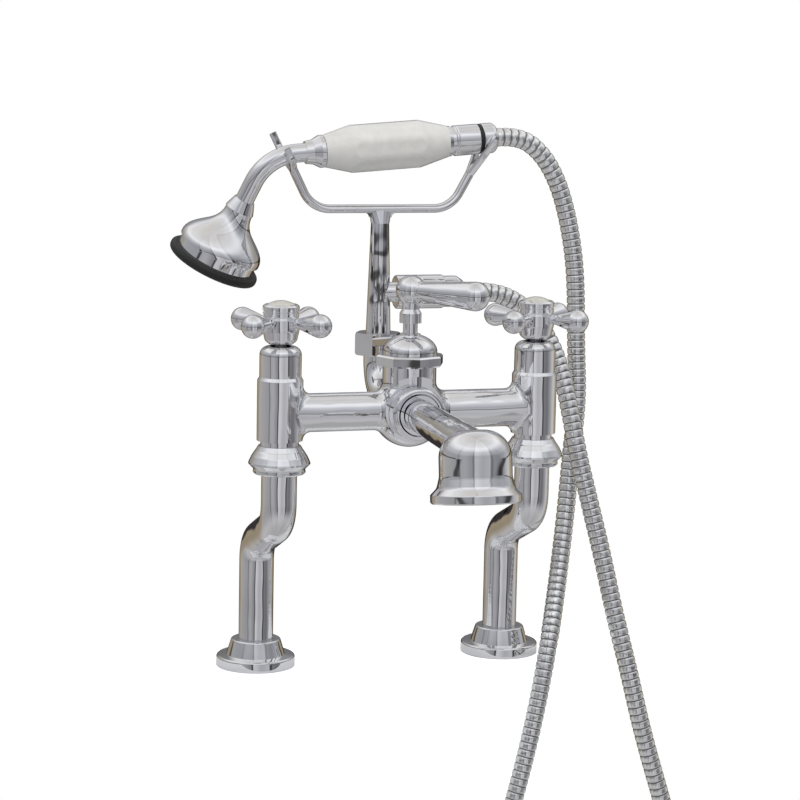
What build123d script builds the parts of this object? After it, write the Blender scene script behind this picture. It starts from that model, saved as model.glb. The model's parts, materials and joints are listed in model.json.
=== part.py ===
from build123d import *
import math
import os

os.makedirs("parts", exist_ok=True)

# Bath shower mixer for a bath deck: two cranked legs, a bridge body, a bell spout,
# a riser with a cradle, and a handset on a metal hose. Millimetres, Z up, the
# origin on the deck midway between the feet, and the spout reaching towards -Y.

# Places of the main pieces
tap_spacing = 180.0
leg_set_forward = 59.0
bridge_height = 186.5
riser_set_back = 16.0
tap_y = -leg_set_forward
sides = {"hot": -tap_spacing / 2, "cold": tap_spacing / 2}

# Clearances and small common sizes
joint_gap = 0.05
thread_gap = 0.1
cover_gap = 0.15
rest_gap = 0.3
lip_round = 0.6
overrun = 1.0

# Deck fixing
tail_radius = 13.2
tail_bore = 9.0
tail_length = 58.0
tail_chamfer = 1.2
tail_groove_radius = 12.2
tail_groove_width = 2.0
tail_groove_gap = 0.5
tail_head_radius = 16.2
tail_socket_floor = 4.0
tail_head_top = 12.5
deck_thickness = 22.0
gasket_thickness = 1.5
gasket_radius = 25.0
washer_radius = 20.0
washer_thickness = 3.0
back_nut_flats = 36.0
back_nut_height = 9.0
back_nut_flange_radius = 21.5
back_nut_flange_thickness = 2.0

# Foot flange
foot_radius = 27.5
foot_rim_height = 7.5
foot_cone_foot_radius = 20.4
foot_cone_top_radius = 17.0
foot_height = 19.0
foot_wall = 2.5
foot_rim_round = 1.6
foot_cone_round = 1.2

# Cranked leg
leg_radius = 12.0
leg_wall = 1.6
leg_crank_rise = 24.0
leg_bend_radius = 20.0
leg_collar_radius = 13.2
leg_collar_height = 4.4

# Union between leg and body
union_drop = 21.5
union_height = 18.8
union_grip = 9.4
union_top = bridge_height - union_drop
union_bottom = union_top - union_height
leg_top = union_top - union_grip
leg_upper_straight = 43.6
leg_upper_bend = leg_top - leg_upper_straight
leg_lower_bend = leg_upper_bend - leg_crank_rise
union_radius = 20.9
union_washer_thickness = 1.8
union_washer_bore = 8.0
spigot_radius = 13.4
neck_radius = 12.9
neck_height = 3.0
water_bore = 7.5
union_shares = [
    (0.80, 0.0, 0.0),
    (0.85, 0.05, 0.03),
    (0.83, 0.17, 0.1),
    (1.0, 0.36, 0.01),
    (0.985, 0.42, 0.03),
    (0.90, 0.63, 0.25),
    (0.80, 0.80, 0.03),
    (0.77, 0.84, 0.02),
    (0.70, 0.97, 0.15),
    (0.685, 1.0, 0.0),
]

# Body casting
pillar_radius = 15.4
pillar_rise = 21.1
pillar_top = bridge_height + pillar_rise
valve_seat_drop = 8.5
valve_seat_height = bridge_height - valve_seat_drop
valve_radius = 11.4
bridge_radius = 13.0
bridge_bore = 8.0
belly_radius = 25.0
turret_radius = 18.2
turret_rise = 30.8
turret_top = bridge_height + turret_rise
turret_bore = 14.6
mixing_radius = 12.0
mixing_half_length = 14.0
outlet_bore = 7.0
boss_radius = 16.4
boss_reach = 18.0
boss_face_reach = 14.0
rear_boss_radius = 13.0
rear_boss_reach = 30.0
pillar_fillet = 6.0
centre_fillet = 8.0
turret_fillet = 7.0

# Valve, spindle and bonnet
valve_chamber = 9.4
valve_window = 6.0
valve_flange_radius = 13.2
valve_flange_thickness = 3.4
valve_neck_radius = 7.0
valve_neck_drop = 3.0
spindle_radius = 4.0
spindle_plate_radius = 8.6
spindle_plate_thickness = 3.0
spindle_plate_lift = 3.0
bonnet_radius = 14.1
bonnet_height = 24.4
bonnet_top = pillar_top + bonnet_height
valve_neck_top = bonnet_top - valve_neck_drop
bonnet_wall = 1.3
bonnet_round = 6.0
bonnet_skirt_height = 1.6
bonnet_shoulder_height = 3.8

# Crosshead handle
handle_lift = 1.3
spindle_rise = 8.7
hub_bottom = bonnet_top + handle_lift
spindle_top = hub_bottom + spindle_rise
hub_radius = 12.4
hub_height = 18.2
hub_shares = [
    (0.64, 0.0, 0.0),
    (0.87, 0.13, 0.16),
    (1.0, 0.52, 0.5),
    (1.0, 0.9, 0.06),
    (0.95, 1.0, 0.0),
]
arm_height = 14.4
arm_reach = 39.5
arm_neck_reach = 15.0
arm_neck_radius = 3.3
lobe_radius = 7.9
arm_count = 4
hub_recess_radius = 8.2
hub_recess_depth = 6.0
screw_radius = 2.2
screw_length = 10.0
screw_head_radius = 4.2
screw_head_height = 2.6
screw_socket_radius = 1.8
screw_socket_depth = 1.5
handle_turns = {"hot": 40.0, "cold": 42.0}

# Index cap
cap_radius = 12.3
cap_height = 8.4
cap_spigot_radius = 8.0
cap_spigot_length = 5.2
cap_hollow_radius = 5.2
cap_hollow_height = 3.6
cap_recess_depth = 2.6
index_radius = 9.6
index_edge = 2.3
index_dome = 2.9
cap_shares = [
    (0.97, 0.0, 0.0),
    (0.99, 0.08, 0.0),
    (0.99, 0.34, 0.02),
    (0.95, 0.38, 0.0),
    (0.95, 0.46, 0.0),
    (1.0, 0.5, 0.02),
    (1.0, 0.84, 0.06),
    (0.93, 0.95, 0.04),
    (0.86, 1.0, 0.03),
    (0.79, 1.0, 0.0),
]

# Diverter
ring_radius = 23.6
ring_height = 7.4
ring_chamfer = 1.1
ring_flat_count = 8
dome_radius = 18.6
dome_edge_height = 1.8
dome_height = 14.0
dome_boss_radius = 7.0
gland_radius = 14.4
gland_depth = 17.7
gland_bottom = turret_top - gland_depth
stem_radius = 4.95
crank_plate_radius = 9.0
crank_plate_thickness = 3.0
crank_gap = 0.6
crank_offset = 4.95
crank_pin_radius = 1.6
crank_pin_length = 12.0
shuttle_radius = 9.0
shuttle_disc = 3.2
shuttle_stroke = 7.0
shuttle_end_gap = 0.25
shuttle_rod_radius = 3.4
shuttle_block_width = 17.0
shuttle_block_depth = 8.0
shuttle_block_height = 7.0
shuttle_slot_gap = 0.45
guide_reach = 6.8
guide_wing = 2.0
guide_length = 9.0
stem_nut_radius = 7.5
stem_nut_height = 6.0
stem_nut_rise = 7.3
stem_nut_grip = 4.0
stem_nut_flute_count = 12
stem_flute_radius = 0.9
head_collar_radius = 7.4
head_collar_height = 3.4
head_neck_radius = 5.8
head_radius = 10.25
head_rise = 16.0
lever_turn = -54.0
lever_reach = 53.0
lever_tip_radius = 9.8
lever_root = 8.2
lever_root_radius = 6.4
lever_bead_radius = 6.9
lever_bead_width = 1.5
lever_spigot_radius = 4.0
lever_spigot_length = 5.0

# Spout
spout_washer_thickness = 1.2
spout_flange_radius = 13.2
spout_flange_thickness = 3.0
spout_root_radius = 10.8
spout_end_radius = 12.2
spout_wall = 2.2
spout_drop = 3.6
spout_bell_reach = 145.0
bell_drop = 36.9
bell_crown = 9.1
bell_lip_height = bridge_height - bell_drop
bell_radius = 23.2
bell_lip_radius = 29.0
bell_height = bell_drop + bell_crown
bell_lean = 8.0
bell_wall = 2.6
bell_shoulder = 17.5
spout_nut_radius = 18.25
spout_nut_length = 8.2
spout_nut_skirt = 3.6
spout_nut_face = 14.6
spout_nut_collar_radius = 13.6
spout_nut_collar_length = 1.8
spout_nut_round = 2.6
spout_nut_gap = 0.6

# Riser, its heights stacked on the elbow
elbow_radius = 10.0
elbow_wall = 2.0
elbow_bend_radius = 25.0
elbow_rise = 28.1
elbow_top = bridge_height + elbow_rise
elbow_thread_radius = 12.6
elbow_thread_height = 7.6
elbow_collar_radius = 12.0
elbow_collar_length = 3.0
riser_nut_corner_radius = 16.8
riser_nut_height = 15.6
riser_nut_top = elbow_top + riser_nut_height
riser_nut_chamfer = 1.4
riser_washer_thickness = 1.6
riser_flange_radius = 12.2
riser_flange_thickness = 2.6
riser_foot_radius = 8.7
riser_head_radius = 6.4
riser_cone_length = 76.8
outlet_rise = 28.3
riser_bore = 4.2
riser_spigot_radius = 3.6
riser_spigot_length = 7.0
riser_cone_top = riser_nut_top + riser_cone_length
outlet_height = riser_nut_top + outlet_rise
outlet_boss_radius = 7.0
outlet_boss_reach = 12.0
outlet_thread_radius = 9.6
outlet_thread_length = 14.0
outlet_thread_reach = outlet_boss_reach + outlet_thread_length
outlet_bore_radius = 4.0
outlet_nut_radius = 11.9
outlet_nut_past_thread = 20.8
outlet_nut_reach = outlet_thread_reach + outlet_nut_past_thread
outlet_nut_round = 1.5
outlet_nut_groove = 0.7
hose_nut_length = 14.0
hose_nut_reach = outlet_nut_reach + hose_nut_length
hose_nut_radius = 11.0
hose_nut_tip_radius = 8.2
hose_nut_round = 4.0
hose_nut_thread_radius = 9.4
hose_nut_thread_length = 12.0
hose_washer_thickness = 2.0

# Cradle
cradle_crown = 3.0
cradle_height = riser_cone_top + riser_spigot_length + cradle_crown
cradle_bar_depth = 9.0
cradle_bar_thickness = 6.0
cradle_left_corner = -49.6
cradle_right_corner = 51.5
cradle_left_lean = 26.5
cradle_right_lean = 29.0
cradle_bend_radius = 21.0
cradle_hub_foot_radius = 6.6
cradle_hub_radius = 8.3
cradle_hub_flare = 3.0
fork_thickness = 3.8
fork_width = 4.8
fork_room = 2.0
fork_yoke_round = 2.5
fork_knee_round = 6.0
fork_left_spread = 45.0
fork_left_front = 4.5
fork_left_back = 15.5
fork_right_spread = 25.5
fork_right_front = 1.5
fork_right_back = 1.5
cradle_screw_radius = 2.0
cradle_screw_length = 2.4
cradle_screw_socket = 1.0

# Handset
handset_lift = 43.2
handset_height = cradle_height + handset_lift
handset_rise = 4.5
handset_twist = 18.0
grip_left = -41.9
grip_right = 47.2
grip_end_radius = 11.2
grip_radius = 17.2
grip_flat_reach = 16.4
grip_flats = 8
grip_corner_round = 9.0
grip_bore = 6.4
grip_swell_left = -20.0
grip_swell_right = 25.0
grip_swell_round = 22.0
inner_tube_radius = 6.2
inner_tube_bore = 4.6
left_ferrule_end = -55.1
left_ferrule_tip_radius = 7.9
left_ferrule_waist = 8.6
left_ferrule_band = 3.2
left_ferrule_radius = 11.3
ferrule_radius = 10.9
right_ferrule_end = 52.4
right_groove_radius = 10.0
handset_nut_radius = 10.7
handset_nut_end = 70.2
handset_nut_groove = 0.5
handset_gasket_end = 72.8
handset_gasket_radius = 10.5
connector_end = 83.3
connector_tip_radius = 8.4
connector_round = 3.5
neck_radius_tube = 6.5
neck_wall = 1.4
neck_corner = 82.2
neck_bend_radius = 34.0
rose_lean = 26.0
rose_start = 35.0
collar_height = 8.4
collar_top_radius = 7.4
collar_foot_radius = 10.3
rose_length = 47.0
rose_radius = 29.6
rose_wall = 2.2
rose_shares = [
    (0.335, 0.18),
    (0.335, 0.21),
    (0.38, 0.33),
    (0.51, 0.45),
    (0.69, 0.55),
    (0.86, 0.645),
    (0.965, 0.73),
    (1.0, 0.815),
]
rose_lip_share = 0.84
rose_band_radius = 28.2
rose_skirt_radius = 26.8
rose_skirt_length = 4.6
rim_radius = 32.8
rim_thickness = 6.3
rim_round = 2.6
plate_thickness = 2.0
plate_jet_radius = 0.9
plate_jet_row_shares = [(6, 0.3), (12, 0.56), (18, 0.82)]

# Hose, with its route from the handset round to the riser's outlet
hose_radius = 6.5
hose_bore = 4.5
hose_arc_share = 0.45
hose_route = [
    (83.3, 16.0, 366.8),
    (100.0, 16.0, 368.3),
    (118.0, 16.0, 357.0),
    (131.5, 16.0, 336.0),
    (141.0, 16.0, 306.0),
    (146.8, 15.0, 270.0),
    (147.4, 12.0, 218.8),
    (148.4, 8.0, 179.4),
    (142.2, 2.0, 142.7),
    (136.5, -6.0, 102.0),
    (125.2, -22.0, 51.1),
    (110.8, -44.0, 5.6),
    (98.2, -50.0, -50.2),
    (82.5, -52.0, -110.0),
    (64.0, -52.0, -172.0),
    (55.0, -51.0, -236.0),
    (72.0, -50.0, -296.0),
    (118.0, -49.0, -333.0),
    (172.0, -48.0, -330.0),
    (215.0, -48.0, -292.0),
    (230.0, -49.0, -236.0),
    (220.0, -50.0, -172.0),
    (201.9, -51.0, -112.0),
    (183.5, -50.0, -55.3),
    (171.9, -46.0, -6.3),
    (163.9, -36.0, 32.6),
    (156.5, -27.0, 74.6),
    (147.6, -21.0, 113.0),
    (139.7, -17.0, 145.8),
    (135.8, -11.0, 173.8),
    (131.0, 1.0, 208.2),
    (120.0, 10.0, 233.3),
    (102.5, 15.0, 251.5),
    (81.5, 16.0, 258.5),
    (60.8, 16.0, 258.5),
]


def upright(x, y):
    """Sketch plane for a turned piece: across is the radius, up is the height."""
    return Plane(origin=(x, y, 0), x_dir=(1, 0, 0), z_dir=(0, -1, 0))


def spin(x, y):
    return Axis((x, y, 0), (0, 0, 1))


def outline(corners):
    """Closes a face through (across, up, corner radius) entries."""
    points = [(corner[0], corner[1]) for corner in corners]
    rounds = [corner[2] for corner in corners]
    with BuildLine() as edge:
        FilletPolyline(*points, radius=rounds, close=True)
    make_face(edge.edges())


def sharp(*points):
    """Corners without rounding."""
    return [(across, up, 0) for across, up in points]


def scaled(shares, radius, low, height):
    """A turned outline from shares of its largest radius and its height."""
    return [(a * radius, low + b * height, c * height) for a, b, c in shares]


def middle_of(edge):
    return edge.bounding_box().center()


def save(part, name):
    part.label = name
    export_step(part, f"parts/{name}.step")


# Foot flange, tail and leg of one side
def make_foot_flange(x):
    with BuildPart() as foot_flange:
        with BuildSketch(upright(x, 0)):
            bore = leg_radius + cover_gap
            hollow = tail_head_radius + rest_gap
            outline(
                sharp((gasket_radius + rest_gap, 0), (foot_radius, 0))
                + [(foot_radius, foot_rim_height, foot_rim_round)]
                + sharp((foot_cone_foot_radius, foot_rim_height + lip_round))
                + [(foot_cone_top_radius, foot_height, foot_cone_round)]
                + sharp(
                    (bore, foot_height),
                    (bore, foot_height - foot_wall),
                    (hollow - foot_wall, foot_height - foot_wall),
                    (hollow, foot_height - 2 * foot_wall),
                    (hollow, gasket_thickness + thread_gap),
                    (gasket_radius + rest_gap, gasket_thickness + thread_gap),
                )
            )
        revolve(axis=spin(x, 0))
    return foot_flange.part


def make_tail(x):
    with BuildPart() as tail:
        with BuildSketch(upright(x, 0)):
            socket = leg_radius + joint_gap
            clamp_depth = deck_thickness + washer_thickness + back_nut_height
            groove_top = -clamp_depth - tail_groove_gap
            outline(
                sharp(
                    (tail_bore, -tail_length),
                    (tail_radius - tail_chamfer, -tail_length),
                    (tail_radius, -tail_length + tail_chamfer),
                    (tail_radius, groove_top - tail_groove_width),
                    (tail_groove_radius, groove_top - tail_groove_width),
                    (tail_groove_radius, groove_top),
                    (tail_radius, groove_top),
                    (tail_radius, gasket_thickness),
                    (tail_head_radius, gasket_thickness),
                    (tail_head_radius, tail_head_top),
                    (socket, tail_head_top),
                    (socket, tail_socket_floor),
                    (tail_bore, tail_socket_floor),
                )
            )
        revolve(axis=spin(x, 0))
    return tail.part


def make_leg(x):
    with BuildPart() as leg:
        with BuildLine() as path:
            FilletPolyline(
                (x, 0, tail_socket_floor),
                (x, 0, leg_lower_bend),
                (x, tap_y, leg_upper_bend),
                (x, tap_y, leg_top),
                radius=leg_bend_radius,
            )
        with BuildSketch(Plane.XY.offset(tail_socket_floor).move(Location((x, 0, 0)))):
            Circle(leg_radius)
            Circle(leg_radius - leg_wall, mode=Mode.SUBTRACT)
        sweep(path=path.line)
        with BuildSketch(Plane((x, tap_y, leg_top - leg_collar_height))):
            Circle(leg_collar_radius)
            Circle(leg_radius - leg_wall / 2, mode=Mode.SUBTRACT)
        extrude(amount=leg_collar_height)
    return leg.part


def make_union_nut(x):
    with BuildPart() as union_nut:
        with BuildSketch(upright(x, tap_y)):
            bore = leg_radius + cover_gap
            hollow = spigot_radius + thread_gap
            shelf = leg_top - leg_collar_height - cover_gap
            outline(
                scaled(union_shares, union_radius, union_bottom, union_top - union_bottom)
                + sharp(
                    (hollow, union_top),
                    (hollow, shelf),
                    (bore, shelf),
                    (bore, union_bottom),
                )
            )
        revolve(axis=spin(x, tap_y))
    return union_nut.part


# Shared fixings, one solid a side in one node
def make_rings(y, low, thickness, outer, bore):
    with BuildPart() as rings:
        for x in sides.values():
            with BuildSketch(Plane((x, y, low))):
                Circle(outer)
                Circle(bore, mode=Mode.SUBTRACT)
            extrude(amount=thickness)
    return rings.part


def make_back_nuts():
    top = -deck_thickness - washer_thickness
    with BuildPart() as back_nuts:
        for x in sides.values():
            with BuildSketch(Plane((x, 0, top - back_nut_height))):
                RegularPolygon(back_nut_flats / 2, 6, major_radius=False)
            extrude(amount=back_nut_height)
            with BuildSketch(Plane((x, 0, top - back_nut_flange_thickness))):
                Circle(back_nut_flange_radius)
            extrude(amount=back_nut_flange_thickness)
            with BuildSketch(Plane((x, 0, top - back_nut_height))):
                Circle(tail_radius + thread_gap)
            extrude(amount=back_nut_height, mode=Mode.SUBTRACT)
    return back_nuts.part


# Body casting: pillars, bridge, belly, turret and bosses in one piece
spigot_bottom = leg_top + union_washer_thickness
pillar_bottom = union_top + neck_height
front_plane = Plane(origin=(0, tap_y, bridge_height), x_dir=(1, 0, 0), z_dir=(0, -1, 0))
rear_plane = Plane(origin=(0, tap_y, bridge_height), x_dir=(-1, 0, 0), z_dir=(0, 1, 0))

with BuildPart() as mixer_body:
    for x in sides.values():
        with BuildSketch(upright(x, tap_y)):
            outline(
                sharp(
                    (0, pillar_bottom),
                    (neck_radius, pillar_bottom),
                )
                + [(pillar_radius, pillar_bottom + lip_round, 0)]
                + sharp((pillar_radius, pillar_top), (0, pillar_top))
            )
        revolve(axis=spin(x, tap_y))
    with BuildSketch(Plane(origin=(sides["hot"], tap_y, bridge_height), z_dir=(1, 0, 0))):
        Circle(bridge_radius)
    extrude(amount=tap_spacing)
    with BuildSketch(upright(0, tap_y)):
        with BuildLine() as belly_line:
            CenterArc((0, bridge_height), belly_radius, -90, 180)
            Line((0, bridge_height + belly_radius), (0, bridge_height - belly_radius))
        make_face(belly_line.edges())
    revolve(axis=spin(0, tap_y))
    with BuildSketch(Plane((0, tap_y, bridge_height))):
        Circle(turret_radius)
    extrude(amount=turret_top - bridge_height)
    joints = mixer_body.edges().filter_by(GeomType.LINE, reverse=True)
    level = [e for e in joints if abs(middle_of(e).Z - bridge_height) < overrun]
    near_pillar = [
        e
        for e in level
        if tap_spacing / 2 - pillar_radius - overrun < abs(middle_of(e).X) < tap_spacing / 2 - overrun
    ]
    print("edges at the pillars", len(near_pillar))
    fillet(near_pillar, pillar_fillet)
    joints = mixer_body.edges().filter_by(GeomType.LINE, reverse=True)
    near_belly = [
        e
        for e in joints
        if abs(middle_of(e).Z - bridge_height) < overrun
        and mixing_half_length < abs(middle_of(e).X) < belly_radius + overrun
    ]
    print("edges at the belly", len(near_belly))
    fillet(near_belly, centre_fillet)
    near_turret = [
        e
        for e in mixer_body.edges().filter_by(GeomType.CIRCLE)
        if abs(e.radius - turret_radius) < thread_gap and e.center().Z < turret_top - overrun
    ]
    print("edges under the turret", len(near_turret))
    fillet(near_turret, turret_fillet)
    with BuildSketch(front_plane.offset(boss_face_reach)):
        Circle(belly_radius)
    extrude(amount=belly_radius, mode=Mode.SUBTRACT)
    with BuildSketch(front_plane):
        Circle(boss_radius)
    extrude(amount=boss_reach)
    with BuildSketch(rear_plane):
        Circle(rear_boss_radius)
    extrude(amount=rear_boss_reach)
    for x in sides.values():
        with BuildSketch(Plane((x, tap_y, union_top))):
            Circle(neck_radius)
        extrude(amount=neck_height + overrun)
        with BuildSketch(Plane((x, tap_y, spigot_bottom))):
            Circle(spigot_radius)
        extrude(amount=union_top - spigot_bottom)
        with BuildSketch(Plane((x, tap_y, valve_seat_height))):
            Circle(valve_radius + thread_gap)
        extrude(amount=pillar_top - valve_seat_height, mode=Mode.SUBTRACT)
        with BuildSketch(Plane((x, tap_y, spigot_bottom))):
            Circle(water_bore)
        extrude(amount=valve_seat_height - spigot_bottom, mode=Mode.SUBTRACT)
    with BuildSketch(Plane(origin=(sides["hot"], tap_y, bridge_height), z_dir=(1, 0, 0))):
        Circle(bridge_bore)
    extrude(amount=tap_spacing, mode=Mode.SUBTRACT)
    with BuildSketch(front_plane.offset(-mixing_half_length)):
        Circle(mixing_radius)
    extrude(amount=2 * mixing_half_length, mode=Mode.SUBTRACT)
    with BuildSketch(front_plane.offset(-rear_boss_reach)):
        Circle(outlet_bore)
    extrude(amount=rear_boss_reach + boss_reach, mode=Mode.SUBTRACT)
    with BuildSketch(Plane((0, tap_y, bridge_height))):
        Circle(turret_bore)
    extrude(amount=turret_top - bridge_height, mode=Mode.SUBTRACT)


# Tap valve, spindle and bonnet of one side
def make_valve(x):
    with BuildPart() as valve:
        with BuildSketch(upright(x, tap_y)):
            flange_top = pillar_top + valve_flange_thickness
            stem_bore = spindle_radius + joint_gap
            roof = pillar_top - valve_flange_thickness
            outline(
                sharp(
                    (valve_chamber, valve_seat_height),
                    (valve_radius, valve_seat_height),
                    (valve_radius, pillar_top),
                    (valve_flange_radius, pillar_top),
                    (valve_flange_radius, flange_top),
                    (valve_neck_radius, flange_top),
                    (valve_neck_radius, valve_neck_top),
                    (stem_bore, valve_neck_top),
                    (stem_bore, roof),
                    (valve_chamber, roof),
                )
            )
        revolve(axis=spin(x, tap_y))
        window_plane = Plane(origin=(x, tap_y, bridge_height + lip_round), z_dir=(1, 0, 0))
        with BuildSketch(window_plane.offset(-valve_radius)):
            Circle(valve_window)
        extrude(amount=2 * valve_radius, mode=Mode.SUBTRACT)
    return valve.part


def make_spindle(x):
    plate_bottom = valve_seat_height + spindle_plate_lift
    plate_top = plate_bottom + spindle_plate_thickness
    with BuildPart() as spindle:
        with BuildSketch(upright(x, tap_y)):
            outline(
                sharp(
                    (0, plate_bottom),
                    (spindle_plate_radius, plate_bottom),
                    (spindle_plate_radius, plate_top),
                    (spindle_radius, plate_top),
                    (spindle_radius, spindle_top),
                    (screw_radius + joint_gap, spindle_top),
                    (screw_radius + joint_gap, spindle_top - screw_length),
                    (0, spindle_top - screw_length),
                )
            )
        revolve(axis=spin(x, tap_y))
    return spindle.part


def make_bonnet(x):
    skirt_top = pillar_top + bonnet_skirt_height
    shoulder = pillar_top + bonnet_shoulder_height
    opening = valve_neck_radius + rest_gap
    inner = bonnet_radius - bonnet_wall
    seat = valve_flange_radius + cover_gap
    with BuildPart() as bonnet:
        with BuildSketch(upright(x, tap_y)):
            outline(
                sharp((seat, pillar_top), (pillar_radius, pillar_top))
                + [(pillar_radius, skirt_top, lip_round)]
                + sharp((bonnet_radius, shoulder))
                + [(bonnet_radius, bonnet_top, bonnet_round)]
                + sharp((opening, bonnet_top), (opening, bonnet_top - bonnet_wall))
                + [(inner, bonnet_top - bonnet_wall, bonnet_round - bonnet_wall)]
                + sharp((inner, shoulder), (seat, shoulder))
            )
        revolve(axis=spin(x, tap_y))
    return bonnet.part


# Crosshead, cap, index disc and screw of one side
hub_top = hub_bottom + hub_height
screw_seat = spindle_top + lip_round
arm_z = hub_bottom + arm_height


def tangent_point(reach, radius, tip, ball):
    """Where a line from (reach, radius) touches the ball at the arm's tip."""
    centre = tip - ball
    gap = math.hypot(centre - reach, radius)
    turn = math.atan2(radius, reach - centre) - math.acos(ball / gap)
    return centre + ball * math.cos(turn), ball * math.sin(turn)


def make_crosshead(x, turn):
    touch = tangent_point(arm_neck_reach, arm_neck_radius, arm_reach, lobe_radius)
    centre = arm_reach - lobe_radius
    middle = (math.atan2(touch[1], touch[0] - centre)) / 2
    bulge = (centre + lobe_radius * math.cos(middle), lobe_radius * math.sin(middle))
    with BuildPart() as crosshead:
        with BuildSketch(upright(x, tap_y)):
            outline(
                sharp((0, hub_bottom))
                + scaled(hub_shares, hub_radius, hub_bottom, hub_height)
                + sharp((0, hub_top))
            )
        revolve(axis=spin(x, tap_y))
        for number in range(arm_count):
            angle = math.radians(turn + 360 / arm_count * number)
            out = Vector(math.cos(angle), math.sin(angle), 0)
            side = Vector(-math.sin(angle), math.cos(angle), 0)
            start = Vector(x, tap_y, arm_z)
            with BuildSketch(Plane(origin=start, x_dir=out, z_dir=side)):
                with BuildLine() as arm_line:
                    Polyline(
                        (0, 0),
                        (0, arm_neck_radius),
                        (arm_neck_reach, arm_neck_radius),
                        touch,
                    )
                    ThreePointArc(touch, bulge, (arm_reach, 0))
                    Line((arm_reach, 0), (0, 0))
                make_face(arm_line.edges())
            revolve(axis=Axis(start, out))
        with BuildSketch(Plane((x, tap_y, hub_bottom))):
            Circle(spindle_radius + joint_gap)
        extrude(amount=spindle_top - hub_bottom, mode=Mode.SUBTRACT)
        with BuildSketch(Plane((x, tap_y, hub_bottom))):
            Circle(screw_radius + cover_gap)
        extrude(amount=hub_height, mode=Mode.SUBTRACT)
        with BuildSketch(Plane((x, tap_y, screw_seat))):
            Circle(screw_head_radius + cover_gap)
        extrude(amount=hub_top - screw_seat, mode=Mode.SUBTRACT)
        with BuildSketch(Plane((x, tap_y, hub_top - hub_recess_depth))):
            Circle(hub_recess_radius)
        extrude(amount=hub_recess_depth, mode=Mode.SUBTRACT)
    return crosshead.part


def make_handle_screw(x):
    head_top = screw_seat + screw_head_height
    with BuildPart() as handle_screw:
        with BuildSketch(upright(x, tap_y)):
            outline(
                sharp(
                    (0, screw_seat - screw_length + 2 * overrun),
                    (screw_radius, screw_seat - screw_length + 2 * overrun),
                    (screw_radius, screw_seat),
                    (screw_head_radius, screw_seat),
                    (screw_head_radius, head_top),
                    (screw_socket_radius, head_top),
                    (screw_socket_radius, head_top - screw_socket_depth),
                    (0, head_top - screw_socket_depth),
                )
            )
        revolve(axis=spin(x, tap_y))
    return handle_screw.part


def make_cap(x):
    floor = hub_top + cap_height - cap_recess_depth
    with BuildPart() as cap:
        with BuildSketch(upright(x, tap_y)):
            outline(
                sharp(
                    (0, hub_top + cap_hollow_height),
                    (cap_hollow_radius, hub_top + cap_hollow_height),
                    (cap_hollow_radius, hub_top - cap_spigot_length),
                    (cap_spigot_radius, hub_top - cap_spigot_length),
                    (cap_spigot_radius, hub_top),
                )
                + scaled(cap_shares, cap_radius, hub_top, cap_height)
                + sharp((index_radius + joint_gap, floor), (0, floor))
            )
        revolve(axis=spin(x, tap_y))
    return cap.part


def make_index(x):
    floor = hub_top + cap_height - cap_recess_depth
    edge = floor + index_edge
    with BuildPart() as index:
        with BuildSketch(upright(x, tap_y)):
            with BuildLine() as disc_line:
                Polyline((0, edge + index_dome), (0, floor), (index_radius, floor), (index_radius, edge))
                RadiusArc(
                    (index_radius, edge),
                    (0, edge + index_dome),
                    -(index_radius**2 + index_dome**2) / (2 * index_dome),
                )
            make_face(disc_line.edges())
        revolve(axis=spin(x, tap_y))
    return index.part


for side, x in sides.items():
    save(make_foot_flange(x), f"{side}_foot_flange")
    save(make_tail(x), f"{side}_tail")
    save(make_leg(x), f"{side}_leg")
    save(make_union_nut(x), f"{side}_union_nut")
    save(make_valve(x), f"{side}_valve")
    save(make_spindle(x), f"{side}_spindle")
    save(make_bonnet(x), f"{side}_bonnet")
    save(make_crosshead(x, handle_turns[side]), f"{side}_crosshead")
    save(make_handle_screw(x), f"{side}_handle_screw")
    save(make_cap(x), f"{side}_cap")
    save(make_index(x), f"{side}_index_disc")

save(mixer_body.part, "mixer_body")
gasket_bore = tail_radius + rest_gap
save(make_rings(0, 0, gasket_thickness, gasket_radius, gasket_bore), "deck_gaskets")
washer_low = -deck_thickness - washer_thickness
save(make_rings(0, washer_low, washer_thickness, washer_radius, gasket_bore), "clamp_washers")
save(make_back_nuts(), "back_nuts")
save(
    make_rings(
        tap_y,
        leg_top,
        union_washer_thickness,
        spigot_radius - cover_gap,
        union_washer_bore,
    ),
    "union_washers",
)

# Diverter: lock ring, bonnet, stem with its crank pin, shuttle, nut, head and lever
ring_top = turret_top + ring_height
stem_nut_bottom = ring_top + dome_height + stem_nut_rise
stem_nut_top = stem_nut_bottom + stem_nut_height
stem_top = stem_nut_bottom + stem_nut_grip
head_height = stem_nut_top + head_rise
with BuildPart() as diverter_ring:
    with BuildSketch(Plane((0, tap_y, turret_top))):
        RegularPolygon(ring_radius, ring_flat_count)
        Circle(turret_bore, mode=Mode.SUBTRACT)
    extrude(amount=ring_height)
    rims = diverter_ring.edges().group_by(Axis.Z)
    flats = [e for e in rims[0] + rims[-1] if e.geom_type == GeomType.LINE]
    chamfer(flats, ring_chamfer)
save(diverter_ring.part, "diverter_ring")

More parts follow.
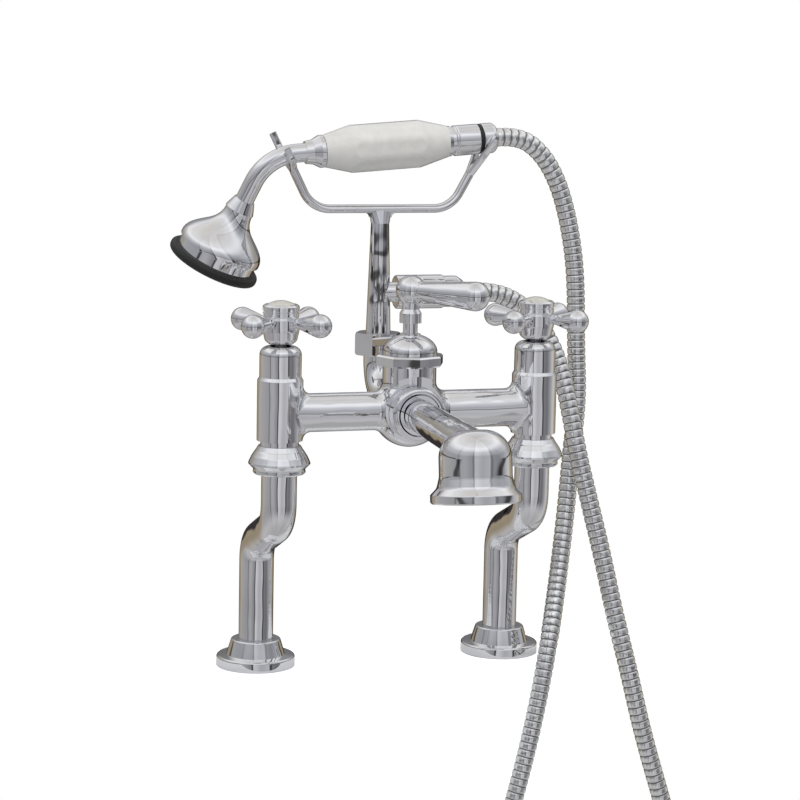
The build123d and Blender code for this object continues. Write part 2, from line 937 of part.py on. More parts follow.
with BuildPart() as diverter_bonnet:
    stem_bore = stem_radius + joint_gap
    dome_edge = ring_top + dome_edge_height
    dome_top = ring_top + dome_height
    with BuildSketch(upright(0, tap_y)):
        with BuildLine() as dome_line:
            Polyline(
                (stem_bore, dome_top),
                (stem_bore, gland_bottom),
                (gland_radius, gland_bottom),
                (gland_radius, ring_top),
                (dome_radius, ring_top),
                (dome_radius, dome_edge),
            )
            EllipticalCenterArc(
                (0, dome_edge),
                dome_radius,
                dome_height - dome_edge_height,
                start_angle=0,
                arc_size=90 - math.degrees(math.asin(dome_boss_radius / dome_radius)),
            )
            Line(dome_line.line @ 1, (dome_boss_radius, dome_top))
            Line((dome_boss_radius, dome_top), (stem_bore, dome_top))
        make_face(dome_line.edges())
    revolve(axis=spin(0, tap_y))
save(diverter_bonnet.part, "diverter_bonnet")

crank_top = gland_bottom - crank_gap
crank_angle = 45.0
with BuildPart() as diverter_stem:
    with BuildSketch(Plane((0, tap_y, crank_top - crank_plate_thickness))):
        Circle(crank_plate_radius)
    extrude(amount=crank_plate_thickness)
    with BuildSketch(Plane((0, tap_y, crank_top))):
        Circle(stem_radius)
    extrude(amount=stem_top - crank_top)
    pin_x = crank_offset * math.cos(math.radians(crank_angle))
    pin_y = crank_offset * math.sin(math.radians(crank_angle))
    pin_low = crank_top - crank_plate_thickness - crank_pin_length
    with BuildSketch(Plane((pin_x, tap_y + pin_y, pin_low))):
        Circle(crank_pin_radius)
    extrude(amount=crank_pin_length)
save(diverter_stem.part, "diverter_stem")

# The shuttle rests against the rear seat, half its stroke behind the middle
shuttle_length = 2 * mixing_half_length - shuttle_stroke - 2 * shuttle_end_gap
shuttle_rear = mixing_half_length - shuttle_end_gap
shuttle_middle = shuttle_stroke / 2
with BuildPart() as diverter_shuttle:
    with BuildSketch(rear_plane.offset(shuttle_rear - shuttle_disc)):
        Circle(shuttle_radius)
    extrude(amount=shuttle_disc)
    with BuildSketch(rear_plane.offset(shuttle_rear - shuttle_length)):
        Circle(shuttle_radius)
    extrude(amount=shuttle_disc)
    with BuildSketch(rear_plane.offset(shuttle_rear - shuttle_length)):
        Circle(shuttle_rod_radius)
    extrude(amount=shuttle_length)
    with BuildSketch(rear_plane.offset(shuttle_middle - shuttle_block_depth / 2)):
        Rectangle(shuttle_block_width, shuttle_block_height)
    extrude(amount=shuttle_block_depth)
    for guide_start in (shuttle_rear, shuttle_rear - shuttle_length - guide_length):
        with BuildSketch(rear_plane.offset(guide_start)):
            Rectangle(2 * guide_reach, guide_wing)
            Rectangle(guide_wing, 2 * guide_reach)
        extrude(amount=guide_length)
    slot_width = 2 * (crank_pin_radius + shuttle_slot_gap)
    slot_low = bridge_height - shuttle_block_height / 2
    slot_middle = (crank_offset + pin_x) / 2
    slot_length = crank_offset - pin_x + slot_width + 2 * shuttle_slot_gap
    with BuildSketch(Plane((slot_middle, tap_y + shuttle_middle, slot_low - overrun))):
        SlotOverall(slot_length, slot_width)
    extrude(amount=shuttle_block_height + 2 * overrun, mode=Mode.SUBTRACT)
save(diverter_shuttle.part, "diverter_shuttle")

with BuildPart() as stem_nut:
    with BuildSketch(Plane((0, tap_y, stem_nut_bottom))):
        Circle(stem_nut_radius)
        with PolarLocations(stem_nut_radius, stem_nut_flute_count):
            Circle(stem_flute_radius, mode=Mode.SUBTRACT)
        Circle(stem_radius + joint_gap, mode=Mode.SUBTRACT)
    extrude(amount=stem_nut_height)
save(stem_nut.part, "stem_nut")

lever_angle = math.radians(lever_turn)
lever_out = Vector(math.cos(lever_angle), math.sin(lever_angle), 0)
lever_side = Vector(-math.sin(lever_angle), math.cos(lever_angle), 0)
lever_centre = Vector(0, tap_y, head_height)
with BuildPart() as diverter_head:
    with BuildSketch(upright(0, tap_y)):
        neck_top = head_height - math.sqrt(head_radius**2 - head_neck_radius**2)
        outline(
            sharp(
                (0, stem_nut_top),
                (head_collar_radius, stem_nut_top),
                (head_collar_radius, stem_nut_top + lip_round),
                (head_neck_radius, stem_nut_top + head_collar_height),
                (head_neck_radius, head_height),
                (0, head_height),
            )
        )
    revolve(axis=spin(0, tap_y))
    with BuildSketch(upright(0, tap_y)):
        with BuildLine() as ball_line:
            CenterArc((0, head_height), head_radius, -90, 180)
            Line((0, head_height + head_radius), (0, head_height - head_radius))
        make_face(ball_line.edges())
    revolve(axis=spin(0, tap_y))
    with BuildSketch(Plane(origin=lever_centre, x_dir=(0, 0, 1), z_dir=lever_out).offset(lever_root)):
        Circle(head_radius)
    extrude(amount=head_radius, mode=Mode.SUBTRACT)
    spigot_start = lever_root - lever_spigot_length
    with BuildSketch(Plane(origin=lever_centre, x_dir=(0, 0, 1), z_dir=lever_out).offset(spigot_start)):
        Circle(lever_spigot_radius + joint_gap)
    extrude(amount=lever_spigot_length, mode=Mode.SUBTRACT)
save(diverter_head.part, "diverter_head")

with BuildPart() as diverter_lever:
    lever_end = lever_reach + lever_tip_radius
    bead_end = lever_root + lever_bead_width
    lever_touch = tangent_point(bead_end, lever_root_radius, lever_end, lever_tip_radius)
    tip_turn = math.atan2(lever_touch[1], lever_touch[0] - lever_reach) / 2
    tip_bulge = (
        lever_reach + lever_tip_radius * math.cos(tip_turn),
        lever_tip_radius * math.sin(tip_turn),
    )
    with BuildSketch(Plane(origin=lever_centre, x_dir=lever_out, z_dir=lever_side)):
        with BuildLine() as lever_line:
            Polyline(
                (lever_end, 0),
                (spigot_start, 0),
                (spigot_start, lever_spigot_radius),
                (lever_root, lever_spigot_radius),
                (lever_root, lever_bead_radius),
                (bead_end, lever_bead_radius),
                (bead_end, lever_root_radius),
                lever_touch,
            )
            ThreePointArc(lever_touch, tip_bulge, (lever_end, 0))
        make_face(lever_line.edges())
    revolve(axis=Axis(lever_centre, lever_out))
save(diverter_lever.part, "diverter_lever")

# Spout with its nut and washer
spout_face = boss_reach + spout_washer_thickness
with BuildPart() as spout_washer:
    with BuildSketch(front_plane.offset(boss_reach)):
        Circle(spout_flange_radius - cover_gap)
        Circle(outlet_bore, mode=Mode.SUBTRACT)
    extrude(amount=spout_washer_thickness)
save(spout_washer.part, "spout_washer")

front_axis = Axis((0, tap_y, bridge_height), (0, -1, 0))
front_section = Plane(origin=(0, tap_y, bridge_height), x_dir=(0, 0, 1), z_dir=(1, 0, 0))
with BuildPart() as spout_nut:
    nut_back = boss_reach - spout_nut_skirt
    nut_front = nut_back + spout_nut_length + spout_nut_skirt - lip_round
    flange_front = spout_face + spout_flange_thickness
    with BuildSketch(front_section):
        outline(
            sharp(
                (boss_radius + thread_gap, nut_back),
                (spout_nut_radius - lip_round, nut_back),
                (spout_nut_radius, nut_back + lip_round),
            )
            + [(spout_nut_radius, nut_front, spout_nut_round)]
            + sharp(
                (spout_nut_face, nut_front),
                (spout_nut_collar_radius, nut_front - spout_nut_collar_length),
                (spout_nut_collar_radius, nut_front),
                (spout_root_radius + spout_nut_gap, nut_front),
                (spout_root_radius + spout_nut_gap, flange_front + thread_gap),
                (spout_flange_radius + thread_gap, flange_front + thread_gap),
                (spout_flange_radius + thread_gap, boss_reach),
                (boss_radius + thread_gap, boss_reach),
            )
        )
    revolve(axis=front_axis)
save(spout_nut.part, "spout_nut")

bell_tilt = math.radians(bell_lean)
bell_foot = Vector(0, tap_y - spout_bell_reach, bell_lip_height)
bell_up = Vector(0, math.sin(bell_tilt), math.cos(bell_tilt))
bell_section = Plane(origin=bell_foot, x_dir=(1, 0, 0), z_dir=Vector(1, 0, 0).cross(bell_up))
bell_axis = Axis(bell_foot, bell_up)
bell_outer_shares = [
    (0.97, 0.0, 0.0),
    (1.0, 0.02, 0.0),
    (1.0, 0.12, 0.02),
    (0.86, 0.21, 0.12),
    (0.8, 0.36, 0.2),
]
spout_start = Vector(0, tap_y - spout_face, bridge_height)
spout_end = Vector(0, tap_y - spout_bell_reach, bridge_height - spout_drop)
with BuildPart() as spout:
    with BuildSketch(bell_section):
        outline(
            sharp((0, 0))
            + scaled(bell_outer_shares, bell_lip_radius, 0, bell_height)
            + [(bell_radius, bell_height, bell_shoulder)]
            + sharp((0, bell_height))
        )
    revolve(axis=bell_axis)
    with BuildSketch(Plane(origin=spout_start, x_dir=(1, 0, 0), z_dir=(0, -1, 0))):
        Circle(spout_root_radius)
    with BuildSketch(Plane(origin=spout_end, x_dir=(1, 0, 0), z_dir=(0, -1, 0))):
        Circle(spout_end_radius)
    loft()
    with BuildSketch(front_plane.offset(spout_face)):
        Circle(spout_flange_radius)
    extrude(amount=spout_flange_thickness)
    with BuildSketch(bell_section):
        outline(
            sharp(
                (0, -overrun),
                (bell_lip_radius - 2 * bell_wall, -overrun),
                (bell_lip_radius - 2 * bell_wall, 0),
            )
            + [(bell_radius - bell_wall, bell_height / 3, 2 * bell_wall)]
            + [(bell_radius - bell_wall, bell_height - bell_wall, bell_shoulder - bell_wall)]
            + sharp((0, bell_height - bell_wall))
        )
    revolve(axis=bell_axis, mode=Mode.SUBTRACT)
    with BuildSketch(Plane(origin=spout_start, x_dir=(1, 0, 0), z_dir=(0, -1, 0))):
        Circle(spout_root_radius - spout_wall)
    with BuildSketch(Plane(origin=spout_end, x_dir=(1, 0, 0), z_dir=(0, -1, 0))):
        Circle(spout_end_radius - spout_wall)
    loft(mode=Mode.SUBTRACT)
save(spout.part, "spout")

# Riser: elbow, nut, washer and column
elbow_start = Vector(0, tap_y + rear_boss_reach, bridge_height)
elbow_corner = Vector(0, riser_set_back, bridge_height)
elbow_end = Vector(0, riser_set_back, elbow_top + elbow_thread_height)
with BuildPart() as riser_elbow:
    with BuildLine() as elbow_path:
        FilletPolyline(elbow_start, elbow_corner, elbow_end, radius=elbow_bend_radius)
    with BuildSketch(Plane(origin=elbow_start, x_dir=(1, 0, 0), z_dir=(0, 1, 0))):
        Circle(elbow_radius)
    sweep(path=elbow_path.line)
    with BuildSketch(Plane(origin=elbow_start, x_dir=(1, 0, 0), z_dir=(0, 1, 0))):
        Circle(elbow_collar_radius)
    extrude(amount=elbow_collar_length)
    with BuildSketch(Plane((0, riser_set_back, elbow_top))):
        Circle(elbow_thread_radius)
    extrude(amount=elbow_thread_height)
    with BuildSketch(Plane(origin=elbow_start, x_dir=(1, 0, 0), z_dir=(0, 1, 0))):
        Circle(elbow_radius - elbow_wall)
    sweep(path=elbow_path.line, mode=Mode.SUBTRACT)
save(riser_elbow.part, "riser_elbow")

riser_seat = elbow_top + elbow_thread_height
with BuildPart() as riser_washer:
    with BuildSketch(Plane((0, riser_set_back, riser_seat))):
        Circle(riser_flange_radius)
        Circle(riser_bore, mode=Mode.SUBTRACT)
    extrude(amount=riser_washer_thickness)
save(riser_washer.part, "riser_washer")

riser_foot = riser_seat + riser_washer_thickness
nut_shelf = riser_foot + riser_flange_thickness + thread_gap
with BuildPart() as riser_nut:
    with BuildSketch(Plane((0, riser_set_back, elbow_top))):
        RegularPolygon(riser_nut_corner_radius, 6)
    extrude(amount=riser_nut_height)
    with BuildSketch(upright(0, riser_set_back)):
        outline(
            sharp(
                (0, elbow_top),
                (riser_nut_corner_radius - riser_nut_chamfer, elbow_top),
                (riser_nut_corner_radius, elbow_top + riser_nut_chamfer),
                (riser_nut_corner_radius, riser_nut_top - riser_nut_chamfer),
                (riser_nut_corner_radius - riser_nut_chamfer, riser_nut_top),
                (0, riser_nut_top),
            )
        )
    revolve(axis=spin(0, riser_set_back), mode=Mode.INTERSECT)
    with BuildSketch(Plane((0, riser_set_back, elbow_top))):
        Circle(elbow_thread_radius + thread_gap)
    extrude(amount=nut_shelf - elbow_top, mode=Mode.SUBTRACT)
    with BuildSketch(Plane((0, riser_set_back, elbow_top))):
        Circle(riser_foot_radius + cover_gap)
    extrude(amount=riser_nut_height, mode=Mode.SUBTRACT)
save(riser_nut.part, "riser_nut")

outlet_plane = Plane(origin=(0, riser_set_back, outlet_height), z_dir=(1, 0, 0))
with BuildPart() as riser:
    with BuildSketch(upright(0, riser_set_back)):
        outline(
            sharp(
                (0, riser_foot),
                (riser_flange_radius, riser_foot),
                (riser_flange_radius, riser_foot + riser_flange_thickness),
                (riser_foot_radius, riser_foot + riser_flange_thickness),
                (riser_foot_radius, riser_nut_top),
                (riser_head_radius, riser_cone_top),
                (riser_spigot_radius, riser_cone_top),
                (riser_spigot_radius, riser_cone_top + riser_spigot_length),
                (0, riser_cone_top + riser_spigot_length),
            )
        )
    revolve(axis=spin(0, riser_set_back))
    with BuildSketch(outlet_plane):
        Circle(outlet_boss_radius)
    extrude(amount=outlet_boss_reach)
    with BuildSketch(outlet_plane.offset(outlet_boss_reach)):
        Circle(outlet_thread_radius)
    extrude(amount=outlet_thread_length)
    with BuildSketch(Plane((0, riser_set_back, riser_foot))):
        Circle(riser_bore)
    extrude(amount=outlet_height - riser_foot, mode=Mode.SUBTRACT)
    with BuildSketch(outlet_plane):
        Circle(outlet_bore_radius)
    extrude(amount=outlet_thread_reach, mode=Mode.SUBTRACT)
save(riser.part, "riser")

outlet_axis = Axis((0, riser_set_back, outlet_height), (1, 0, 0))
outlet_section = Plane(origin=(0, riser_set_back, outlet_height), x_dir=(1, 0, 0), z_dir=(0, -1, 0))
hose_thread_start = outlet_nut_reach - hose_nut_thread_length
with BuildPart() as outlet_nut:
    with BuildSketch(outlet_section):
        mid = (outlet_boss_reach + outlet_nut_reach) / 2
        inner = outlet_thread_radius + thread_gap
        outline(
            sharp((outlet_boss_reach, inner))
            + [(outlet_boss_reach, outlet_nut_radius, outlet_nut_round)]
            + sharp(
                (mid - outlet_nut_groove, outlet_nut_radius),
                (mid, outlet_nut_radius - outlet_nut_groove),
                (mid + outlet_nut_groove, outlet_nut_radius),
            )
            + [(outlet_nut_reach, outlet_nut_radius, outlet_nut_round)]
            + sharp((outlet_nut_reach, inner))
        )
    revolve(axis=outlet_axis)
save(outlet_nut.part, "outlet_nut")

with BuildPart() as hose_washer:
    with BuildSketch(outlet_plane.offset(hose_thread_start - hose_washer_thickness)):
        Circle(hose_nut_thread_radius)
        Circle(outlet_bore_radius, mode=Mode.SUBTRACT)
    extrude(amount=hose_washer_thickness)
save(hose_washer.part, "hose_washer")

with BuildPart() as hose_nut:
    with BuildSketch(outlet_section):
        outline(
            sharp(
                (hose_thread_start, outlet_bore_radius),
                (hose_thread_start, hose_nut_thread_radius),
                (outlet_nut_reach, hose_nut_thread_radius),
                (outlet_nut_reach, hose_nut_radius - lip_round),
                (outlet_nut_reach + lip_round, hose_nut_radius),
            )
            + [(hose_nut_reach - hose_nut_round, hose_nut_radius, hose_nut_round)]
            + sharp((hose_nut_reach, hose_nut_tip_radius), (hose_nut_reach, outlet_bore_radius))
        )
    revolve(axis=outlet_axis)
save(hose_nut.part, "hose_nut")

# Cradle with a fork at each end
cradle_plane = Plane(origin=(0, riser_set_back, 0), x_dir=(1, 0, 0), z_dir=(0, -1, 0))
rise = math.radians(handset_rise)
left_lean = math.radians(cradle_left_lean)
right_lean = math.radians(cradle_right_lean)
fork_middle = fork_thickness / 2


def fork_yoke(corner, lean, sign, radius, spread):
    """Where the arm's line ends in a yoke, and how far below the carried tube's axis that is."""
    along = Vector(sign * math.sin(lean), 0, math.cos(lean))
    # the handset's axis is z = handset_height + x tan(rise)
    slope = math.tan(rise)
    reach = (handset_height + slope * corner - cradle_height) / (along.Z - slope * along.X)
    tilt = lean + sign * rise
    support = math.hypot(radius * math.cos(spread), radius / math.cos(tilt) * math.sin(spread))
    drop = (support + fork_middle + rest_gap) / math.sin(spread) + fork_width / 2 * math.tan(tilt)
    return Vector(corner, 0, cradle_height) + along * (reach - drop), along, drop


left_spread = math.radians(fork_left_spread)
right_spread = math.radians(fork_right_spread)
left_yoke, left_along, left_drop = fork_yoke(
    cradle_left_corner, left_lean, -1, neck_radius_tube, left_spread
)
right_yoke, right_along, right_drop = fork_yoke(
    cradle_right_corner, right_lean, 1, handset_nut_radius, right_spread
)
# the rounding in the yoke lies a little above its corner, and the arm runs up to it
left_arm_end = left_yoke + left_along * fork_yoke_round * (1 / math.sin(left_spread) - 1)
right_arm_end = right_yoke + right_along * fork_yoke_round * (1 / math.sin(right_spread) - 1)
left_prongs = (left_drop + fork_left_front, left_drop + fork_left_back)
right_prongs = (right_drop + fork_right_front, right_drop + fork_right_back)
forks = [
    (left_yoke, left_along, neck_radius_tube, left_spread, left_prongs),
    (right_yoke, right_along, handset_nut_radius, right_spread, right_prongs),
]
with BuildPart() as cradle:
    with BuildLine(cradle_plane) as bar_path:
        FilletPolyline(
            (left_arm_end.X, left_arm_end.Z),
            (cradle_left_corner, cradle_height),
            (cradle_right_corner, cradle_height),
            (right_arm_end.X, right_arm_end.Z),
            radius=cradle_bend_radius,
        )
    bar_start = bar_path.line @ 0
    bar_way = bar_path.line % 0
    with BuildSketch(Plane(origin=bar_start, x_dir=(0, 1, 0), z_dir=bar_way)):
        Ellipse(cradle_bar_depth / 2, cradle_bar_thickness / 2)
    sweep(path=bar_path.line)
    for yoke, along, radius, spread, prongs in forks:
        origin = Vector(yoke.X, riser_set_back, yoke.Z)
        across = Vector(0, 1, 0)
        fork_plane = Plane(origin=origin, x_dir=across, z_dir=across.cross(along))
        half = radius + fork_room + fork_middle
        knee = half / math.tan(spread)
        with BuildLine(fork_plane) as fork_path:
            FilletPolyline(
                (-half, prongs[0]),
                (-half, knee),
                (0, 0),
                (half, knee),
                (half, prongs[1]),
                radius=[fork_knee_round, fork_yoke_round, fork_knee_round],
            )
        tip = fork_path.line @ 0
        tip_way = fork_path.line % 0
        with BuildSketch(Plane(origin=tip, x_dir=across.cross(along), z_dir=tip_way)):
            RectangleRounded(fork_width, fork_thickness, fork_thickness / 3)
        sweep(path=fork_path.line)
    # the hub runs from round at the riser to the bar's oval
    with BuildSketch(Plane((0, riser_set_back, riser_cone_top))):
        Circle(cradle_hub_foot_radius)
    with BuildSketch(Plane((0, riser_set_back, cradle_height))):
        Ellipse(cradle_hub_radius, cradle_bar_depth / 2 - lip_round)
    loft()
    with BuildSketch(cradle_plane.offset(-cradle_bar_depth / 4)):
        with BuildLine() as web_line:
            top = cradle_height
            low = cradle_height - cradle_bar_thickness / 2
            wide = cradle_hub_radius + cradle_hub_flare - lip_round
            narrow = wide - cradle_hub_flare
            Polyline((-wide, low), (-wide, top), (wide, top), (wide, low))
            RadiusArc((wide, low), (narrow, low - cradle_hub_flare), -cradle_hub_flare)
            Line((narrow, low - cradle_hub_flare), (-narrow, low - cradle_hub_flare))
            RadiusArc((-narrow, low - cradle_hub_flare), (-wide, low), -cradle_hub_flare)
        make_face(web_line.edges())
    extrude(amount=cradle_bar_depth / 2)
    with BuildSketch(Plane((0, riser_set_back, riser_cone_top))):
        Circle(riser_spigot_radius + joint_gap)
    extrude(amount=riser_spigot_length, mode=Mode.SUBTRACT)
    screw_height = riser_cone_top + riser_spigot_length / 2
    screw_plane = Plane(origin=(0, riser_set_back, screw_height), z_dir=(0, 1, 0))
    with BuildSketch(screw_plane):
        Circle(cradle_screw_radius + joint_gap)
    extrude(amount=2 * cradle_hub_radius, mode=Mode.SUBTRACT)
save(cradle.part, "cradle")

with BuildPart() as cradle_screw:
    screw_start = riser_spigot_radius + joint_gap
    with BuildSketch(screw_plane.offset(screw_start)):
        Circle(cradle_screw_radius)
    extrude(amount=cradle_screw_length)
    with BuildSketch(screw_plane.offset(screw_start + cradle_screw_length - cradle_screw_socket)):
        RegularPolygon(cradle_screw_radius / 2, 6)
    extrude(amount=2 * cradle_screw_socket, mode=Mode.SUBTRACT)
save(cradle_screw.part, "cradle_screw")

# Handset, built along its own axis
handset_along = Vector(math.cos(rise), 0, math.sin(rise))
handset_origin = Vector(0, riser_set_back, handset_height)
handset_section = Plane(origin=handset_origin, x_dir=handset_along, z_dir=(0, -1, 0))
handset_axis = Axis(handset_origin, handset_along)
handset_cross = Plane(origin=handset_origin, x_dir=(0, 1, 0), z_dir=handset_along)

with BuildPart() as grip:
    with BuildSketch(handset_section):
        outline(
            sharp((grip_left, grip_bore), (grip_left, grip_end_radius))
            + [
                (grip_swell_left, grip_radius, grip_swell_round),
                (grip_swell_right, grip_radius, grip_swell_round),
            ]
            + sharp((grip_right, grip_end_radius), (grip_right, grip_bore))
        )
    revolve(axis=handset_axis)
    with BuildSketch(handset_cross.offset(grip_left)):
        RegularPolygon(grip_flat_reach, grip_flats, major_radius=False, rotation=180 / grip_flats)
        fillet(vertices(), grip_corner_round)
    extrude(amount=grip_right - grip_left, mode=Mode.INTERSECT)
save(grip.part, "handset_grip")

with BuildPart() as inner_tube:
    with BuildSketch(handset_cross.offset(grip_left)):
        Circle(inner_tube_radius)
        Circle(inner_tube_bore, mode=Mode.SUBTRACT)
    extrude(amount=grip_right - grip_left)
save(inner_tube.part, "handset_inner_tube")

with BuildPart() as left_ferrule:
    with BuildSketch(handset_section):
        ferrule_band = grip_left - left_ferrule_band
        ferrule_waist = (ferrule_band + left_ferrule_end) / 2
        outline(
            sharp(
                (grip_left, neck_radius_tube + joint_gap),
                (grip_left, left_ferrule_radius - lip_round),
                (grip_left - lip_round, left_ferrule_radius),
            )
            + [
                (ferrule_band, left_ferrule_radius, lip_round),
                (ferrule_waist, left_ferrule_waist, left_ferrule_band),
            ]
            + sharp(
                (left_ferrule_end, left_ferrule_tip_radius),
                (left_ferrule_end, neck_radius_tube + joint_gap),
            )
        )
    revolve(axis=handset_axis)
save(left_ferrule.part, "handset_left_ferrule")

with BuildPart() as right_ferrule:
    with BuildSketch(handset_section):
        groove_start = (grip_right + right_ferrule_end) / 2
        outline(
            sharp(
                (grip_right, inner_tube_bore),
                (grip_right, ferrule_radius),
                (groove_start, ferrule_radius - lip_round / 2),
                (groove_start, right_groove_radius),
                (right_ferrule_end, right_groove_radius),
                (right_ferrule_end, inner_tube_bore),
            )
        )
    revolve(axis=handset_axis)
save(right_ferrule.part, "handset_right_ferrule")

with BuildPart() as handset_nut:
    with BuildSketch(handset_section):
        outline(
            sharp(
                (right_ferrule_end, inner_tube_bore),
                (right_ferrule_end, handset_nut_radius - lip_round),
                (right_ferrule_end + lip_round, handset_nut_radius),
                (right_ferrule_end + 2 * lip_round, handset_nut_radius),
                (right_ferrule_end + 3 * lip_round, handset_nut_radius - handset_nut_groove),
                (right_ferrule_end + 4 * lip_round, handset_nut_radius),
            )
            + [(handset_nut_end, handset_nut_radius, lip_round)]
            + sharp((handset_nut_end, inner_tube_bore))
        )
    revolve(axis=handset_axis)
save(handset_nut.part, "handset_nut")

with BuildPart() as handset_gasket:
    with BuildSketch(handset_cross.offset(handset_nut_end)):
        Circle(handset_gasket_radius)
        Circle(inner_tube_bore, mode=Mode.SUBTRACT)
    extrude(amount=handset_gasket_end - handset_nut_end)
save(handset_gasket.part, "handset_gasket")

with BuildPart() as hose_connector:
    with BuildSketch(handset_section):
        outline(
            sharp(
                (handset_gasket_end, inner_tube_bore),
                (handset_gasket_end, handset_nut_radius - lip_round),
                (handset_gasket_end + lip_round, handset_nut_radius),
            )
            + [(connector_end - connector_round / 2, handset_nut_radius, connector_round)]
            + sharp((connector_end, connector_tip_radius), (connector_end, inner_tube_bore))
        )
    revolve(axis=handset_axis)
save(hose_connector.part, "hose_connector")

# The neck lies in a plane turned back about the handset's axis
twist = math.radians(handset_twist)
handset_up = handset_section.y_dir
neck_down = handset_up * -math.cos(twist) + Vector(0, 1, 0) * math.sin(twist)
neck_left = handset_along * -1
lean = math.radians(rose_lean)
rose_way = neck_left * math.sin(lean) + neck_down * math.cos(lean)
corner_point = handset_origin + neck_left * neck_corner
neck_end = corner_point + rose_way * (rose_start + collar_height)
neck_start = handset_origin + handset_along * (left_ferrule_end + (grip_left - left_ferrule_end) / 2)
with BuildPart() as neck:
    with BuildLine() as neck_path:
        FilletPolyline(neck_start, corner_point, neck_end, radius=neck_bend_radius)
    with BuildSketch(Plane(origin=neck_start, z_dir=neck_left)):
        Circle(neck_radius_tube)
        Circle(neck_radius_tube - neck_wall, mode=Mode.SUBTRACT)
    sweep(path=neck_path.line)
save(neck.part, "handset_neck")

rose_origin = corner_point + rose_way * rose_start
rose_side = Vector(0, 1, 0).cross(rose_way).normalized()
rose_section = Plane(origin=rose_origin, x_dir=rose_side, z_dir=rose_side.cross(rose_way))
rose_axis = Axis(rose_origin, rose_way)
rose_cross = Plane(origin=rose_origin, x_dir=rose_side, z_dir=rose_way)
with BuildPart() as rose_collar:
    with BuildSketch(rose_section):
        bore = neck_radius_tube + joint_gap
        outline(
            sharp(
                (bore, 0),
                (collar_top_radius, 0),
                (collar_foot_radius, collar_height - lip_round),
                (collar_foot_radius, collar_height),
                (bore, collar_height),
            )
        )
    revolve(axis=rose_axis)
save(rose_collar.part, "rose_collar")

band_end = rose_length - lip_round
skirt_end = band_end + rose_skirt_length
with BuildPart() as rose_body:
    with BuildSketch(rose_section):
        with BuildLine() as bell_line:
            points = [(a * rose_radius, b * rose_length) for a, b in rose_shares]
            inner = [(a - rose_wall, b + rose_wall) for a, b in points]
            lip = rose_lip_share * rose_length
            Spline(*points)
            Polyline(
                points[-1],
                (rose_radius, lip),
                (rose_band_radius, lip + lip_round),
                (rose_band_radius, band_end),
                (rose_skirt_radius, band_end),
                (rose_skirt_radius, skirt_end),
                (rose_skirt_radius - rose_wall, skirt_end),
                (rose_skirt_radius - rose_wall, lip),
                inner[-2],
            )
            Spline(*reversed(inner[1:-1]))
            Line(inner[1], points[0])
        make_face(bell_line.edges())
    revolve(axis=rose_axis)
save(rose_body.part, "rose_body")

with BuildPart() as rose_rim:
    with BuildSketch(rose_section):
        rim_inner = rose_skirt_radius + cover_gap
        rim_low = band_end + joint_gap
        rim_high = rim_low + rim_thickness
        outline(
            sharp((rim_inner, rim_low))
            + [(rim_radius, rim_low, rim_round), (rim_radius, rim_high, rim_round)]
            + sharp((rim_inner, rim_high))
        )
    revolve(axis=rose_axis)
save(rose_rim.part, "rose_rim")

with BuildPart() as rose_plate:
    plate_radius = rose_skirt_radius - rose_wall - cover_gap
    with BuildSketch(rose_cross.offset(skirt_end - plate_thickness)):
        Circle(plate_radius)
        for count, share in plate_jet_row_shares:
            with PolarLocations(plate_radius * share, count):
                Circle(plate_jet_radius, mode=Mode.SUBTRACT)
    extrude(amount=plate_thickness)
save(rose_plate.part, "rose_plate")

# Hose: straight runs joined by tangent arcs
route = [Vector(*point) for point in hose_route]
runs = [(b - a).length for a, b in zip(route, route[1:])]
turns = [(b - a).get_angle(c - b) for a, b, c in zip(route, route[1:], route[2:])]
hose_radii = [
    hose_arc_share * min(before, after) / math.tan(math.radians(turn / 2))
    for before, after, turn in zip(runs, runs[1:], turns)
]
with BuildPart() as hose:
    with BuildLine() as hose_path:
        FilletPolyline(*route, radius=hose_radii)
    with BuildSketch(Plane(origin=route[0], z_dir=route[1] - route[0])):
        Circle(hose_radius)
        Circle(hose_bore, mode=Mode.SUBTRACT)
    sweep(path=hose_path.line)
save(hose.part, "hose")
hose_section = math.pi * (hose_radius**2 - hose_bore**2)
hose_length = sum(edge.length for edge in hose_path.edges())
print("hose length", round(hose_length, 1), "runs added", round(sum(runs), 1))
print("hose radii", [round(radius) for radius in hose_radii])
print("hose turns", [round(turn) for turn in turns])
print("hose volume over section and length", hose.part.volume / hose_section / hose_length)
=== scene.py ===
# %% [markdown]
# A bath shower mixer is nearly all polished chrome, so its looks come from three things:
# true curved surfaces, a studio that has something worth reflecting, and finishes that
# differ where the real materials differ. The CAD model brings the turned and cast pieces
# with exact surface normals, so this script dresses them and leaves their shapes alone.
# It makes one piece itself: the ribbed hose, which the solids hold as a plain tube.

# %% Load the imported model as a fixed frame
import json
import math

import bpy
from mathutils import Matrix, Vector


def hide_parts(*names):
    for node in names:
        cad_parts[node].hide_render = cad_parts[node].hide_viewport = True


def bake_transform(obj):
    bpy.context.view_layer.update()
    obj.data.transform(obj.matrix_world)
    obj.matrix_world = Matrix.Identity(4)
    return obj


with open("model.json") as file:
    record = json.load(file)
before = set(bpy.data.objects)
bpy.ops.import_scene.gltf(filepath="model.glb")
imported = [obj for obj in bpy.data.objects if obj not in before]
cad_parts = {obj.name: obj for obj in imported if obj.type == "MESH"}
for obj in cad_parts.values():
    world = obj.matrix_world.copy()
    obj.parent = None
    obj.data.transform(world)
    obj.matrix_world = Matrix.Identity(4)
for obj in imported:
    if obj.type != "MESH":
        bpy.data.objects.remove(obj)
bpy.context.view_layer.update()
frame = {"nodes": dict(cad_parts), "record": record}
nodes = frame["nodes"]
scene = bpy.context.scene

